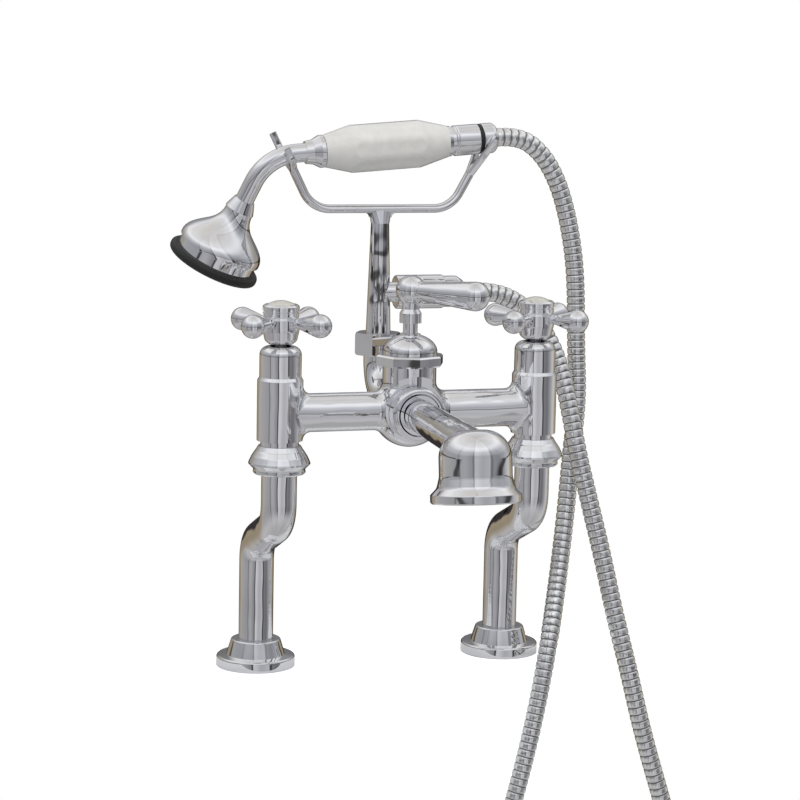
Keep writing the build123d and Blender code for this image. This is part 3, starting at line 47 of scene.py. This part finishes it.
# %% [markdown]
# The camera comes first. A long lens, 1.8 m away and a little to the left, sees the mixer
# as the photograph does. Its place and turn were worked out from points whose real
# positions are known: the feet, the bridge, the handles and the cradle. The Standard view
# keeps white as white, where a film-like view would turn it grey.

# %% Place the camera
def add_object(name, data):
    """A new object in the scene, made from its data."""
    holder = bpy.data.objects.new(name, data)
    scene.collection.objects.link(holder)
    return holder


camera_place = Vector((-0.52155, -1.71199, 0.45369))
camera_right = Vector((0.95469, -0.29760, 0.0))
camera_forward = Vector((0.29429, 0.94408, -0.14865)).normalized()
camera_roll = 0.0195898

camera_right -= camera_forward * camera_right.dot(camera_forward)
camera_right.normalize()
camera_up = camera_right.cross(camera_forward)
turned_right = camera_right * math.cos(camera_roll) + camera_up * math.sin(camera_roll)
turned_up = camera_up * math.cos(camera_roll) - camera_right * math.sin(camera_roll)
facing = Matrix((turned_right, turned_up, -camera_forward)).transposed().to_4x4()

camera_data = bpy.data.cameras.new("photo_camera")
camera_data.sensor_width = 36.0
camera_data.lens = 116.497
camera = add_object("photo_camera", camera_data)
camera.matrix_world = Matrix.Translation(camera_place) @ facing
scene.camera = camera
scene.view_settings.view_transform = "Standard"
print("camera distance", round(camera_place.length, 3))

# %% [markdown]
# The hose is a fixed length of interlocked metal strip. Its route leaves the handset,
# falls in one long curve, turns back up below the deck and rises to the riser's outlet.
# The route's points are the corners of a NURBS curve of order 3, which cuts smoothly
# inside each corner, as a stiff hose does.

# %% The hose's route, in millimetres
hose_route = [
    (83.3, 16.0, 366.8), (100.0, 16.0, 368.3), (118.0, 16.0, 357.0), (131.5, 16.0, 336.0),
    (141.0, 16.0, 306.0), (146.8, 15.0, 270.0), (147.4, 12.0, 218.8), (148.4, 8.0, 179.4),
    (142.2, 2.0, 142.7), (136.5, -6.0, 102.0), (125.2, -22.0, 51.1), (110.8, -44.0, 5.6),
    (98.2, -50.0, -50.2), (82.5, -52.0, -110.0), (64.0, -52.0, -172.0),
    (55.0, -51.0, -236.0), (72.0, -50.0, -296.0), (118.0, -49.0, -333.0),
    (172.0, -48.0, -330.0), (215.0, -48.0, -292.0), (230.0, -49.0, -236.0),
    (220.0, -50.0, -172.0), (201.9, -51.0, -112.0), (183.5, -50.0, -55.3),
    (171.9, -46.0, -6.3), (163.9, -36.0, 32.6), (156.5, -27.0, 74.6), (147.6, -21.0, 113.0),
    (139.7, -17.0, 145.8), (135.8, -11.0, 173.8), (131.0, 1.0, 208.2), (120.0, 10.0, 233.3),
    (102.5, 15.0, 251.5), (81.5, 16.0, 258.5), (60.8, 16.0, 258.5),
]
print("route corners", len(hose_route))

# %% Draw the hose's middle line and measure it
curve_order = 3
steps_per_corner = 24


def route_curve(name, route):
    """A NURBS curve with a route in millimetres as its corners, in metres."""
    curve = bpy.data.curves.new(name, "CURVE")
    curve.dimensions = "3D"
    curve.resolution_u = steps_per_corner
    spline = curve.splines.new("NURBS")
    spline.points.add(len(route) - 1)
    for point, corner in zip(spline.points, route):
        point.co = (*(value / 1000 for value in corner), 1.0)
    spline.order_u = curve_order
    spline.use_endpoint_u = True
    return add_object(name, curve)


def line_points(holder):
    """The points along a curve, and its length."""
    bpy.context.view_layer.update()
    graph = bpy.context.evaluated_depsgraph_get()
    line = bpy.data.meshes.new_from_object(holder.evaluated_get(graph))
    points = [vertex.co.copy() for vertex in line.vertices]
    bpy.data.meshes.remove(line)
    length = sum((b - a).length for a, b in zip(points, points[1:]))
    return points, length


hose_curve = route_curve("hose_route", hose_route)
hose_line, hose_length = line_points(hose_curve)
print("hose length", round(hose_length, 4))

# %% [markdown]
# Finishes and Geometry Nodes are both trees of nodes. These helpers place a node, wire it
# and set its values in one line, so that the cells below can say what each step is for. A
# node's inputs are given by name, or by number where several have the same name.

# %% Place a node and feed it
def feed(tree, node, values):
    """Gives a node's inputs their values, as links from other sockets or as plain values."""
    for label, value in values.items():
        if isinstance(value, bpy.types.NodeSocket):
            tree.links.new(value, node.inputs[label])
        else:
            node.inputs[label].default_value = value


def add_node(tree, kind, inputs=None, **settings):
    """A node with its settings and its fed inputs."""
    node = tree.nodes.new(kind)
    for label, value in settings.items():
        setattr(node, label, value)
    feed(tree, node, inputs or {})
    return node


# %% The nodes that most trees use
def calculate(tree, operation, *values):
    """The result of a Math node."""
    inputs = dict(enumerate(values))
    return add_node(tree, "ShaderNodeMath", inputs, operation=operation).outputs[0]


def spread(tree, value, low, high, to_low, to_high):
    """A value moved from between two ends to between two others, and held there."""
    ends = {"From Min": low, "From Max": high, "To Min": to_low, "To Max": to_high}
    return add_node(tree, "ShaderNodeMapRange", {"Value": value, **ends}).outputs[0]


def noise(tree, vector, scale, detail):
    """Soft random values from about 0 to 1 over a surface."""
    inputs = {"Vector": vector, "Scale": scale, "Detail": detail}
    return add_node(tree, "ShaderNodeTexNoise", inputs).outputs[0]


def mix_colours(tree, share, first, second, blend="MIX"):
    """Two colours mixed. A Mix node has its colours at inputs 6 and 7 and at output 2."""
    inputs = {0: share, 6: first, 7: second}
    node = add_node(tree, "ShaderNodeMix", inputs, data_type="RGBA", blend_type=blend)
    return node.outputs[2]


# %% Start a tree that can be used again
NUMBER, VECTOR, COLOUR = "NodeSocketFloat", "NodeSocketVector", "NodeSocketColor"
SHAPE = "NodeSocketGeometry"


def new_tree(kind, name, ins, outs):
    """An empty tree, with inputs as (name, type, value) and outputs as (name, type)."""
    tree = bpy.data.node_groups.new(name, kind)
    for label, socket_type, value in ins:
        socket = tree.interface.new_socket(label, in_out="INPUT", socket_type=socket_type)
        if value is not None:
            socket.default_value = value
    for label, socket_type in outs:
        tree.interface.new_socket(label, in_out="OUTPUT", socket_type=socket_type)
    return tree, tree.nodes.new("NodeGroupInput"), tree.nodes.new("NodeGroupOutput")


# %% [markdown]
# Chrome is not one flat mirror. Polishing leaves the surface a little wavy, so straight
# reflections bend, and handling leaves faint smears that soften them here and there.
# Both effects go on every plated piece, so they are one group with its own amounts.

# %% The hand polish group
smear_start, smear_full = 0.45, 0.72
smear_detail, wave_detail = 5.0, 1.0

polish, polish_in, polish_out = new_tree(
    "ShaderNodeTree", "hand_polish",
    [
        ("Vector", VECTOR, None),
        ("Clean Roughness", NUMBER, 0.02),
        ("Smeared Roughness", NUMBER, 0.1),
        ("Wave Scale", NUMBER, 60.0),
        ("Smear Scale", NUMBER, 25.0),
    ],
    [("Roughness", NUMBER), ("Height", NUMBER), ("Smear", NUMBER)],
)
given = polish_in.outputs
smears = noise(polish, given["Vector"], given["Smear Scale"], smear_detail)
smear = spread(polish, smears, smear_start, smear_full, 0.0, 1.0)
rough = spread(polish, smear, 0.0, 1.0, given["Clean Roughness"], given["Smeared Roughness"])
waves = noise(polish, given["Vector"], given["Wave Scale"], wave_detail)
feed(polish, polish_out, {"Roughness": rough, "Height": waves, "Smear": smear})
print("group", polish.name, "nodes", len(polish.nodes))

# %% [markdown]
# The other shared effect is grain: the fine speckle of rubber, pressed fibre, machined
# brass and glaze. It gives a tint, a roughness and a height from two layers of noise,
# where a fine one makes the speckle and a coarse one makes slow clouds under it. Stretch
# squeezes the speckle along an axis, which turns it into the fine rings of a lathe.

# %% The fine grain group
speckle_share, cloud_share = 0.6, 0.4
speckle_detail, cloud_detail, cloud_scale = 4.0, 3.0, 30.0
shade_start, shade_full = 0.35, 0.65

grain, grain_in, grain_out = new_tree(
    "ShaderNodeTree", "fine_grain",
    [
        ("Vector", VECTOR, None),
        ("Scale", NUMBER, 400.0),
        ("Stretch", VECTOR, (1.0, 1.0, 1.0)),
        ("Dark", COLOUR, (0.0, 0.0, 0.0, 1.0)),
        ("Light", COLOUR, (1.0, 1.0, 1.0, 1.0)),
        ("Low Roughness", NUMBER, 0.3),
        ("High Roughness", NUMBER, 0.6),
    ],
    [("Color", COLOUR), ("Roughness", NUMBER), ("Height", NUMBER)],
)
given = grain_in.outputs
pulled = {0: given["Vector"], 1: given["Stretch"]}
stretched = add_node(grain, "ShaderNodeVectorMath", pulled, operation="MULTIPLY").outputs[0]
speckle = noise(grain, stretched, given["Scale"], speckle_detail)
clouds = noise(grain, given["Vector"], cloud_scale, cloud_detail)
cloud_part = spread(grain, clouds, 0.0, 1.0, 0.0, cloud_share)
both_layers = calculate(grain, "MULTIPLY_ADD", speckle, speckle_share, cloud_part)
shade = spread(grain, both_layers, shade_start, shade_full, 0.0, 1.0)
tint = mix_colours(grain, shade, given["Dark"], given["Light"])
rough = spread(grain, shade, 0.0, 1.0, given["Low Roughness"], given["High Roughness"])
feed(grain, grain_out, {"Color": tint, "Roughness": rough, "Height": speckle})
print("group", grain.name, "nodes", len(grain.nodes))

# %% [markdown]
# Every finish has the same plan. Object coordinates go into one of the two groups, and the
# group's roughness, height and colour go into a Principled BSDF. The patterns then stay
# on a piece when it moves, and what differs from finish to finish is a few amounts.

# %% Build a finish from a group
def new_finish(name, group, settings, plain, bump_depth):
    """A material whose Principled BSDF takes its changing values from a group."""
    finish = bpy.data.materials.new(name)
    finish.use_nodes = True
    tree = finish.node_tree
    place = add_node(tree, "ShaderNodeTexCoord").outputs["Object"]
    inputs = {"Vector": place, **settings}
    effect = add_node(tree, "ShaderNodeGroup", inputs, node_tree=group, name="effect")
    inputs = {"Distance": bump_depth, "Height": effect.outputs["Height"]}
    relief = add_node(tree, "ShaderNodeBump", inputs).outputs["Normal"]
    changing = {"Roughness": effect.outputs["Roughness"], "Normal": relief}
    if "Color" in effect.outputs:
        changing["Base Color"] = effect.outputs["Color"]
    feed(tree, tree.nodes["Principled BSDF"], {**plain, **changing})
    return finish


# %% [markdown]
# Chrome plate is a metal with a faint blue-grey tint, a little duller where it is
# smeared. The hose is the same plate on folded strip, which is rougher, so its
# reflections are broken into short glints. The grooves between its ribs are painted nearly
# black as painted shade, from a mark that the ribs' Geometry Nodes leave on the mesh.

# %% Chrome finishes
def new_plate(name, settings, clean, smeared, bump_depth):
    """A plated finish that dulls where it is smeared, and the socket of its colour."""
    finish = new_finish(name, polish, settings, {"Metallic": 1.0}, bump_depth)
    tree = finish.node_tree
    tint = mix_colours(tree, tree.nodes["effect"].outputs["Smear"], clean, smeared)
    feed(tree, tree.nodes["Principled BSDF"], {"Base Color": tint})
    return finish, tint


chrome, _ = new_plate(
    "chrome_plate",
    {
        "Clean Roughness": 0.015, "Smeared Roughness": 0.06,
        "Wave Scale": 38.0, "Smear Scale": 22.0,
    },
    clean=(0.84, 0.84, 0.86, 1), smeared=(0.79, 0.79, 0.81, 1), bump_depth=0.001,
)
hose_metal, hose_tint = new_plate(
    "hose_strip",
    {
        "Clean Roughness": 0.13, "Smeared Roughness": 0.26,
        "Wave Scale": 300.0, "Smear Scale": 120.0,
    },
    clean=(0.92, 0.92, 0.92, 1), smeared=(0.82, 0.82, 0.81, 1), bump_depth=0.0001,
)
# The groove mark paints shade: the strip's colour goes nearly black in each groove.
groove_shade_mark = "painted_groove_shade"
tree = hose_metal.node_tree
in_groove_shade = add_node(tree, "ShaderNodeAttribute", attribute_name=groove_shade_mark).outputs["Fac"]
groove_shaded_tint = mix_colours(tree, in_groove_shade, hose_tint, (0.03, 0.03, 0.03, 1))
feed(tree, tree.nodes["Principled BSDF"], {"Base Color": groove_shaded_tint})
print("plated finishes", chrome.name, hose_metal.name)

# %% [markdown]
# What the plating doesn't reach is bare metal: brass for the tails, their washers and
# nuts, the valves and the tube in the grip, and steel for the spindles, the screws and
# the shuttle. Most of them are turned upright pieces, so the grain runs round that axis.

# %% Machined brass and steel
brass = new_finish(
    "machined_brass", grain,
    {
        "Scale": 900.0, "Stretch": (1.0, 1.0, 6.0), "Dark": (0.60, 0.42, 0.17, 1),
        "Light": (0.80, 0.62, 0.30, 1), "Low Roughness": 0.22, "High Roughness": 0.4,
    },
    {"Metallic": 1.0}, bump_depth=0.00004,
)
steel = new_finish(
    "machined_steel", grain,
    {
        "Scale": 1200.0, "Stretch": (1.0, 1.0, 5.0), "Dark": (0.42, 0.42, 0.43, 1),
        "Light": (0.62, 0.62, 0.63, 1), "Low Roughness": 0.2, "High Roughness": 0.38,
    },
    {"Metallic": 1.0}, bump_depth=0.00003,
)
print("bare metals", brass.name, steel.name)

# %% [markdown]
# Rubber is nearly black and half matt, on the rose's rim and in the gaskets. The washers
# in the unions are red-brown pressed fibre. The grip is glazed porcelain and the two
# discs are enamel, warm whites under a clear coat that keeps their gloss sharp.

# %% Rubber, fibre, porcelain and enamel
rubber = new_finish(
    "black_rubber", grain,
    {
        "Scale": 1500.0, "Dark": (0.006, 0.006, 0.006, 1), "Light": (0.02, 0.02, 0.019, 1),
        "Low Roughness": 0.42, "High Roughness": 0.62,
    },
    {"Specular IOR Level": 0.45}, bump_depth=0.00006,
)
fibre = new_finish(
    "pressed_fibre", grain,
    {
        "Scale": 1100.0, "Dark": (0.22, 0.06, 0.035, 1), "Light": (0.42, 0.14, 0.08, 1),
        "Low Roughness": 0.7, "High Roughness": 0.95,
    },
    {}, bump_depth=0.00008,
)
porcelain = new_finish(
    "glazed_porcelain", grain,
    {
        "Scale": 180.0, "Dark": (0.73, 0.71, 0.67, 1), "Light": (0.80, 0.785, 0.75, 1),
        "Low Roughness": 0.16, "High Roughness": 0.24,
    },
    {"Coat Weight": 0.6, "Coat Roughness": 0.06}, bump_depth=0.00003,
)
enamel = new_finish(
    "white_enamel", grain,
    {
        "Scale": 260.0, "Dark": (0.60, 0.58, 0.50, 1), "Light": (0.68, 0.665, 0.59, 1),
        "Low Roughness": 0.12, "High Roughness": 0.2,
    },
    {"Coat Weight": 0.7, "Coat Roughness": 0.04}, bump_depth=0.00002,
)
finishes = {
    "chrome": chrome, "hose_metal": hose_metal, "brass": brass, "steel": steel,
    "rubber": rubber, "fibre": fibre, "porcelain": porcelain, "enamel": enamel,
}
print("finishes", len(finishes))

# %% [markdown]
# The model's record says which material each of its pieces is made of, so the finishes
# are given out from there, and no list of pieces has to be kept here.

# %% Give every carried-over node the finish of its slot
slots = {entry["node"]: entry["material_slot"] for entry in frame["record"]["subparts"]}
for name, node in nodes.items():
    node.data.materials.clear()
    node.data.materials.append(finishes[slots[name]])
print("dressed nodes", len(nodes))

# %% [markdown]
# Each turn of the strip shows as a narrow barrel with a groove beside it, which is painted
# dark as painted shade. The ribs repeat along a path, which is work for Geometry Nodes: the
# curve is resampled at eight points a rib, each point's radius comes from its place in the
# rib, and one skin is drawn through them. Making one skin keeps the hose closed, where loose
# rings would not.

# %% Ribs along the hose
rib_pitch = 0.0052
rib_steps = 8
rib_count = round(hose_length / rib_pitch)
crest_radius, groove_depth = 0.0065, 0.0009
groove_sharpness = 6.0
ring_sides = 28

ribs, ribs_in, ribs_out = new_tree(
    "GeometryNodeTree", "hose_ribs",
    [
        ("Geometry", SHAPE, None),
        ("Rib Count", "NodeSocketInt", rib_count),
        ("Crest Radius", NUMBER, crest_radius),
        ("Groove Depth", NUMBER, groove_depth),
        ("Finish", "NodeSocketMaterial", None),
    ],
    [("Geometry", SHAPE)],
)
given = ribs_in.outputs
points_wanted = calculate(ribs, "MULTIPLY_ADD", given["Rib Count"], rib_steps, 1)
inputs = {"Curve": given["Geometry"], "Count": points_wanted}
line = add_node(ribs, "GeometryNodeResampleCurve", inputs).outputs["Curve"]
print("ribs", rib_count, "points along the hose", rib_count * rib_steps + 1)

# %% The radius at each point: full on the crest, less in the groove
place_number = add_node(ribs, "GeometryNodeInputIndex").outputs[0]
step = calculate(ribs, "MODULO", place_number, rib_steps)
from_middle = calculate(ribs, "ABSOLUTE", calculate(ribs, "SUBTRACT", step, rib_steps / 2))
share = calculate(ribs, "DIVIDE", from_middle, rib_steps / 2)
drop = calculate(ribs, "POWER", share, groove_sharpness)
depth = calculate(ribs, "MULTIPLY", drop, given["Groove Depth"])
radius = calculate(ribs, "SUBTRACT", given["Crest Radius"], depth)
# The drop is also stored as the groove mark, which paints shade into the finish there.
inputs = {"Geometry": line, "Name": groove_shade_mark, "Value": drop}
marked = add_node(
    ribs, "GeometryNodeStoreNamedAttribute", inputs, data_type="FLOAT", domain="POINT"
).outputs["Geometry"]
print("radius", crest_radius - groove_depth, "to", crest_radius)

# %% Draw the skin and grow the hose
inputs = {"Resolution": ring_sides, "Radius": 1.0}
ring = add_node(ribs, "GeometryNodeCurvePrimitiveCircle", inputs).outputs["Curve"]
inputs = {"Curve": marked, "Profile Curve": ring, "Scale": radius, "Fill Caps": True}
skin = add_node(ribs, "GeometryNodeCurveToMesh", inputs).outputs["Mesh"]
smooth = add_node(ribs, "GeometryNodeSetShadeSmooth", {"Geometry": skin}).outputs[0]
whole = add_node(ribs, "GeometryNodeRealizeInstances", {"Geometry": smooth}).outputs[0]
inputs = {"Geometry": whole, "Material": given["Finish"]}
painted_skin = add_node(ribs, "GeometryNodeSetMaterial", inputs).outputs[0]
feed(ribs, ribs_out, {"Geometry": painted_skin})


def grow(holder, tree, name, values):
    """Runs a tree on an object and returns the result as a plain mesh object."""
    modifier = holder.modifiers.new(name, "NODES")
    modifier.node_group = tree
    for item in tree.interface.items_tree:
        if item.in_out == "INPUT" and item.name in values:
            modifier[item.identifier] = values[item.name]
    bpy.context.view_layer.update()
    graph = bpy.context.evaluated_depsgraph_get()
    mesh = bpy.data.meshes.new_from_object(holder.evaluated_get(graph), depsgraph=graph)
    holder.modifiers.remove(modifier)
    mesh.name = name
    return add_object(name, mesh)


hose_sizes = {
    "Rib Count": rib_count, "Crest Radius": crest_radius, "Groove Depth": groove_depth,
}
hose = grow(hose_curve, ribs, "ribbed_hose", {**hose_sizes, "Finish": hose_metal})
bpy.data.objects.remove(hose_curve)
print("hose faces", len(hose.data.polygons))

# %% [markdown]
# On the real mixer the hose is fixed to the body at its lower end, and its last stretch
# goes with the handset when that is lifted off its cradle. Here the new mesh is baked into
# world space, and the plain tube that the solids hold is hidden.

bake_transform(hose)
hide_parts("hose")
print("hose declared", hose.name)

# %% [markdown]
# The stage is the white deck that the feet stand on, with a drop at its front edge, so
# that the hose hangs in front of it. Both and the world are plain white to the camera.
# The deck keeps a soft shadow, because part of its white is light that falls on it. The
# sheets are small, dim to mirrors and clear from behind, so that the chrome reflects the
# room beyond them and views from below still show the tails and the hose.

# %% The white of the stage
def plain_sight(tree, in_mirrors):
    """1 for rays of the camera and of glass, a share for mirrors, and 0 for the rest."""
    path = add_node(tree, "ShaderNodeLightPath").outputs
    mirrors = calculate(tree, "MULTIPLY", path["Is Glossy Ray"], in_mirrors)
    sight = calculate(tree, "MAXIMUM", path["Is Camera Ray"], path["Is Transmission Ray"])
    return calculate(tree, "MAXIMUM", sight, mirrors)


def mix_shaders(tree, share, first, second):
    """The first shader at a share of 0, and the second at a share of 1."""
    inputs = {0: share, 1: first, 2: second}
    return add_node(tree, "ShaderNodeMixShader", inputs).outputs[0]


deck_grey, deck_glow, deck_in_mirrors = 0.8, 0.86, 0.1

stage_white = bpy.data.materials.new("stage_white")
stage_white.use_nodes = True
tree = stage_white.node_tree
feed(tree, tree.nodes["Principled BSDF"], {
    "Base Color": (deck_grey, deck_grey, deck_grey, 1), "Roughness": 0.9,
})
matt = tree.nodes["Principled BSDF"].outputs[0]
glow = add_node(tree, "ShaderNodeEmission", {"Strength": deck_glow}).outputs[0]
lit = add_node(tree, "ShaderNodeAddShader", {0: matt, 1: glow}).outputs[0]
front = mix_shaders(tree, plain_sight(tree, deck_in_mirrors), matt, lit)
clear = add_node(tree, "ShaderNodeBsdfTransparent").outputs[0]
from_behind = add_node(tree, "ShaderNodeNewGeometry").outputs["Backfacing"]
surface = mix_shaders(tree, from_behind, front, clear)
feed(tree, tree.nodes["Material Output"], {"Surface": surface})
print("stage white nodes", len(tree.nodes))

# %% The deck and its drop
def flat_sheet(name, corners):
    """One four-sided stage sheet."""
    mesh = bpy.data.meshes.new(name)
    mesh.from_pydata(corners, [], [(0, 1, 2, 3)])
    mesh.materials.append(stage_white)
    sheet = add_object(name, mesh)


wide, edge, deep, low = 0.145, -0.034, 0.045, -0.13
front_left, front_right = (-wide, edge, 0), (wide, edge, 0)
flat_sheet("stage_deck", [front_left, front_right, (wide, deep, 0), (-wide, deep, 0)])
flat_sheet("stage_drop", [(-wide, edge, low), (wide, edge, low), front_right, front_left])
print("deck", 2 * wide, "by", deep - edge, "drop", -low)

# %% [markdown]
# Chrome shows the room more than itself, so the room is drawn with care: a dome that only
# mirrors see, painted with one ramp over its height and one round its bearing. It is dark
# behind the object, which draws a thin dark line down each side of every tube, with a tan
# wooden tone at both sides of that dark. Pale panels, middle greys and two narrow dark
# gaps fill the rest, round to the camera. A third ramp says how far the bearing counts:
# in full from the horizon to well below it, less above it, and least straight up and
# down. The tones are chosen so that what chrome gives back of them stays below white.

# %% The directions in the room
dome_paint = bpy.data.materials.new("studio_room")
dome_paint.use_nodes = True
tree = dome_paint.node_tree
tree.nodes.clear()
seen_from_middle = add_node(tree, "ShaderNodeTexCoord").outputs["Object"]
unit = add_node(tree, "ShaderNodeVectorMath", {0: seen_from_middle}, operation="NORMALIZE")
toward = add_node(tree, "ShaderNodeSeparateXYZ", {0: unit.outputs[0]}).outputs
bearing = calculate(tree, "ARCTAN2", toward["X"], toward["Y"])
print("room nodes", len(tree.nodes))

# %% The tones of the room
def painted(tree, value, low, high, stops):
    """A colour ramp along a value, from (place, red, green, blue) entries."""
    place = spread(tree, value, low, high, 0.0, 1.0)
    node = add_node(tree, "ShaderNodeValToRGB", {0: place})
    ramp = node.color_ramp
    ramp.interpolation = "EASE"
    while len(ramp.elements) < len(stops):
        ramp.elements.new(0.5)
    for element, (at, *colour) in zip(ramp.elements, stops):
        element.position = at
        element.color = (*colour, 1)
    return node.outputs[0]


by_height = painted(tree, toward["Z"], -1.0, 1.0, [
    (0.0, 0.45, 0.45, 0.45), (0.20, 0.55, 0.55, 0.56), (0.33, 0.58, 0.58, 0.59),
    (0.425, 0.64, 0.64, 0.65), (0.478, 0.60, 0.60, 0.61), (0.488, 0.12, 0.12, 0.12),
    (0.501, 0.12, 0.12, 0.12), (0.515, 0.50, 0.51, 0.53), (0.60, 0.47, 0.48, 0.50),
    (0.70, 0.62, 0.63, 0.66), (0.84, 0.95, 0.96, 0.98), (0.93, 0.80, 0.80, 0.80),
    (1.0, 0.70, 0.69, 0.67),
])
by_bearing = painted(tree, bearing, -math.pi, math.pi, [
    (0.0, 0.95, 0.95, 0.97), (0.012, 0.95, 0.95, 0.96), (0.018, 0.06, 0.06, 0.06),
    (0.026, 0.08, 0.08, 0.08), (0.034, 0.42, 0.42, 0.43), (0.10, 0.62, 0.62, 0.64),
    (0.135, 0.60, 0.60, 0.61), (0.144, 0.30, 0.30, 0.30), (0.150, 0.30, 0.30, 0.30),
    (0.162, 0.52, 0.52, 0.53), (0.26, 0.58, 0.58, 0.58), (0.32, 0.66, 0.63, 0.58),
    (0.36, 0.55, 0.46, 0.32), (0.41, 0.50, 0.42, 0.29), (0.425, 0.06, 0.05, 0.05),
    (0.575, 0.06, 0.05, 0.05), (0.59, 0.52, 0.43, 0.29), (0.64, 0.60, 0.51, 0.36),
    (0.665, 0.90, 0.88, 0.84), (0.70, 0.80, 0.80, 0.81), (0.745, 0.50, 0.50, 0.51),
    (0.80, 0.27, 0.27, 0.28), (0.85, 0.32, 0.32, 0.33), (0.862, 0.08, 0.08, 0.08),
    (0.872, 0.08, 0.08, 0.08), (0.884, 0.80, 0.80, 0.82), (0.94, 0.70, 0.70, 0.72),
    (1.0, 0.95, 0.95, 0.97),
])
bearing_counts = painted(tree, toward["Z"], -1.0, 1.0, [
    (0.125, 0.2, 0.2, 0.2), (0.325, 1.0, 1.0, 1.0), (0.505, 1.0, 1.0, 1.0),
    (0.525, 0.72, 0.72, 0.72), (0.70, 0.55, 0.55, 0.55), (0.875, 0.2, 0.2, 0.2),
])
room_tone = mix_colours(tree, bearing_counts, by_height, by_bearing, "MULTIPLY")
room_strength = 1.08
inputs = {"Color": room_tone, "Strength": room_strength}
room = add_node(tree, "ShaderNodeEmission", inputs).outputs[0]
add_node(tree, "ShaderNodeOutputMaterial", {"Surface": room})
print("room nodes", len(tree.nodes))

# %% The dome that carries the room
dome_sides, dome_rings, dome_radius = 48, 24, 3.2
middle = (0.0, -0.05, 0.2)

corners, faces = [], []
for ring_number in range(dome_rings + 1):
    tilt = math.pi * ring_number / dome_rings
    for side in range(dome_sides):
        turn = 2 * math.pi * side / dome_sides
        corners.append((
            dome_radius * math.sin(tilt) * math.cos(turn),
            dome_radius * math.sin(tilt) * math.sin(turn),
            dome_radius * math.cos(tilt),
        ))
for ring_number in range(dome_rings):
    this_ring, next_ring = ring_number * dome_sides, (ring_number + 1) * dome_sides
    for side in range(dome_sides):
        beside = (side + 1) % dome_sides
        faces.append(
            (this_ring + side, this_ring + beside, next_ring + beside, next_ring + side)
        )
dome_mesh = bpy.data.meshes.new("studio_dome")
dome_mesh.from_pydata(corners, [], faces)
dome_mesh.materials.append(dome_paint)
dome = add_object("studio_dome", dome_mesh)
dome.location = middle
dome.rotation_euler = (0.0, 0.0, -math.atan2(camera_forward.x, camera_forward.y))
for rays in ("camera", "diffuse", "transmission", "volume_scatter", "shadow"):
    setattr(dome, "visible_" + rays, False)
print("dome faces", len(faces))

# %% [markdown]
# The world has two jobs. To the camera it is the plain white backdrop. To the surfaces it
# is a dim and faintly blue light from all sides, which keeps the shadows open. Mirrors
# meet the dome before they meet the world.

# %% The world: white to sight, and an even light on everything
even_colour, even_strength = (0.95, 0.97, 1.0, 1), 0.5

world = bpy.data.worlds.new("studio")
scene.world = world
world.use_nodes = True
tree = world.node_tree
tree.nodes.clear()
white = add_node(tree, "ShaderNodeBackground", {"Color": (1, 1, 1, 1)}).outputs[0]
inputs = {"Color": even_colour, "Strength": even_strength}
even = add_node(tree, "ShaderNodeBackground", inputs).outputs[0]
by_sight = mix_shaders(tree, plain_sight(tree, 1.0), even, white)
add_node(tree, "ShaderNodeOutputWorld", {"Surface": by_sight})
print("world nodes", len(tree.nodes))

# %% [markdown]
# Porcelain, enamel, rubber and the deck need light that falls on them. Four soft panels
# give it, from above, from both sides and from behind. Mirrors don't see them, because
# their bright rectangles would clip to white in the chrome.

# %% Soft lamps
def soft_panel(name, place, width, height, power):
    """A rectangular area lamp that faces the middle of the room."""
    lamp = bpy.data.lights.new(name, "AREA")
    lamp.shape = "RECTANGLE"
    lamp.size, lamp.size_y = width, height
    lamp.energy = power
    holder = add_object(name, lamp)
    holder.location = place
    aim = Vector(middle) - Vector(place)
    holder.rotation_euler = aim.to_track_quat("-Z", "Y").to_euler()
    holder.visible_glossy = False


soft_panel("top_panel", (0.1, -0.5, 1.7), 1.1, 0.8, power=9)
soft_panel("left_panel", (-1.5, -0.9, 0.7), 0.35, 1.3, power=6)
soft_panel("right_panel", (1.5, -0.7, 0.6), 0.3, 1.2, power=4)
soft_panel("back_panel", (0.3, 1.5, 0.9), 0.9, 0.5, power=4)
print("lamps", len(bpy.data.lights))
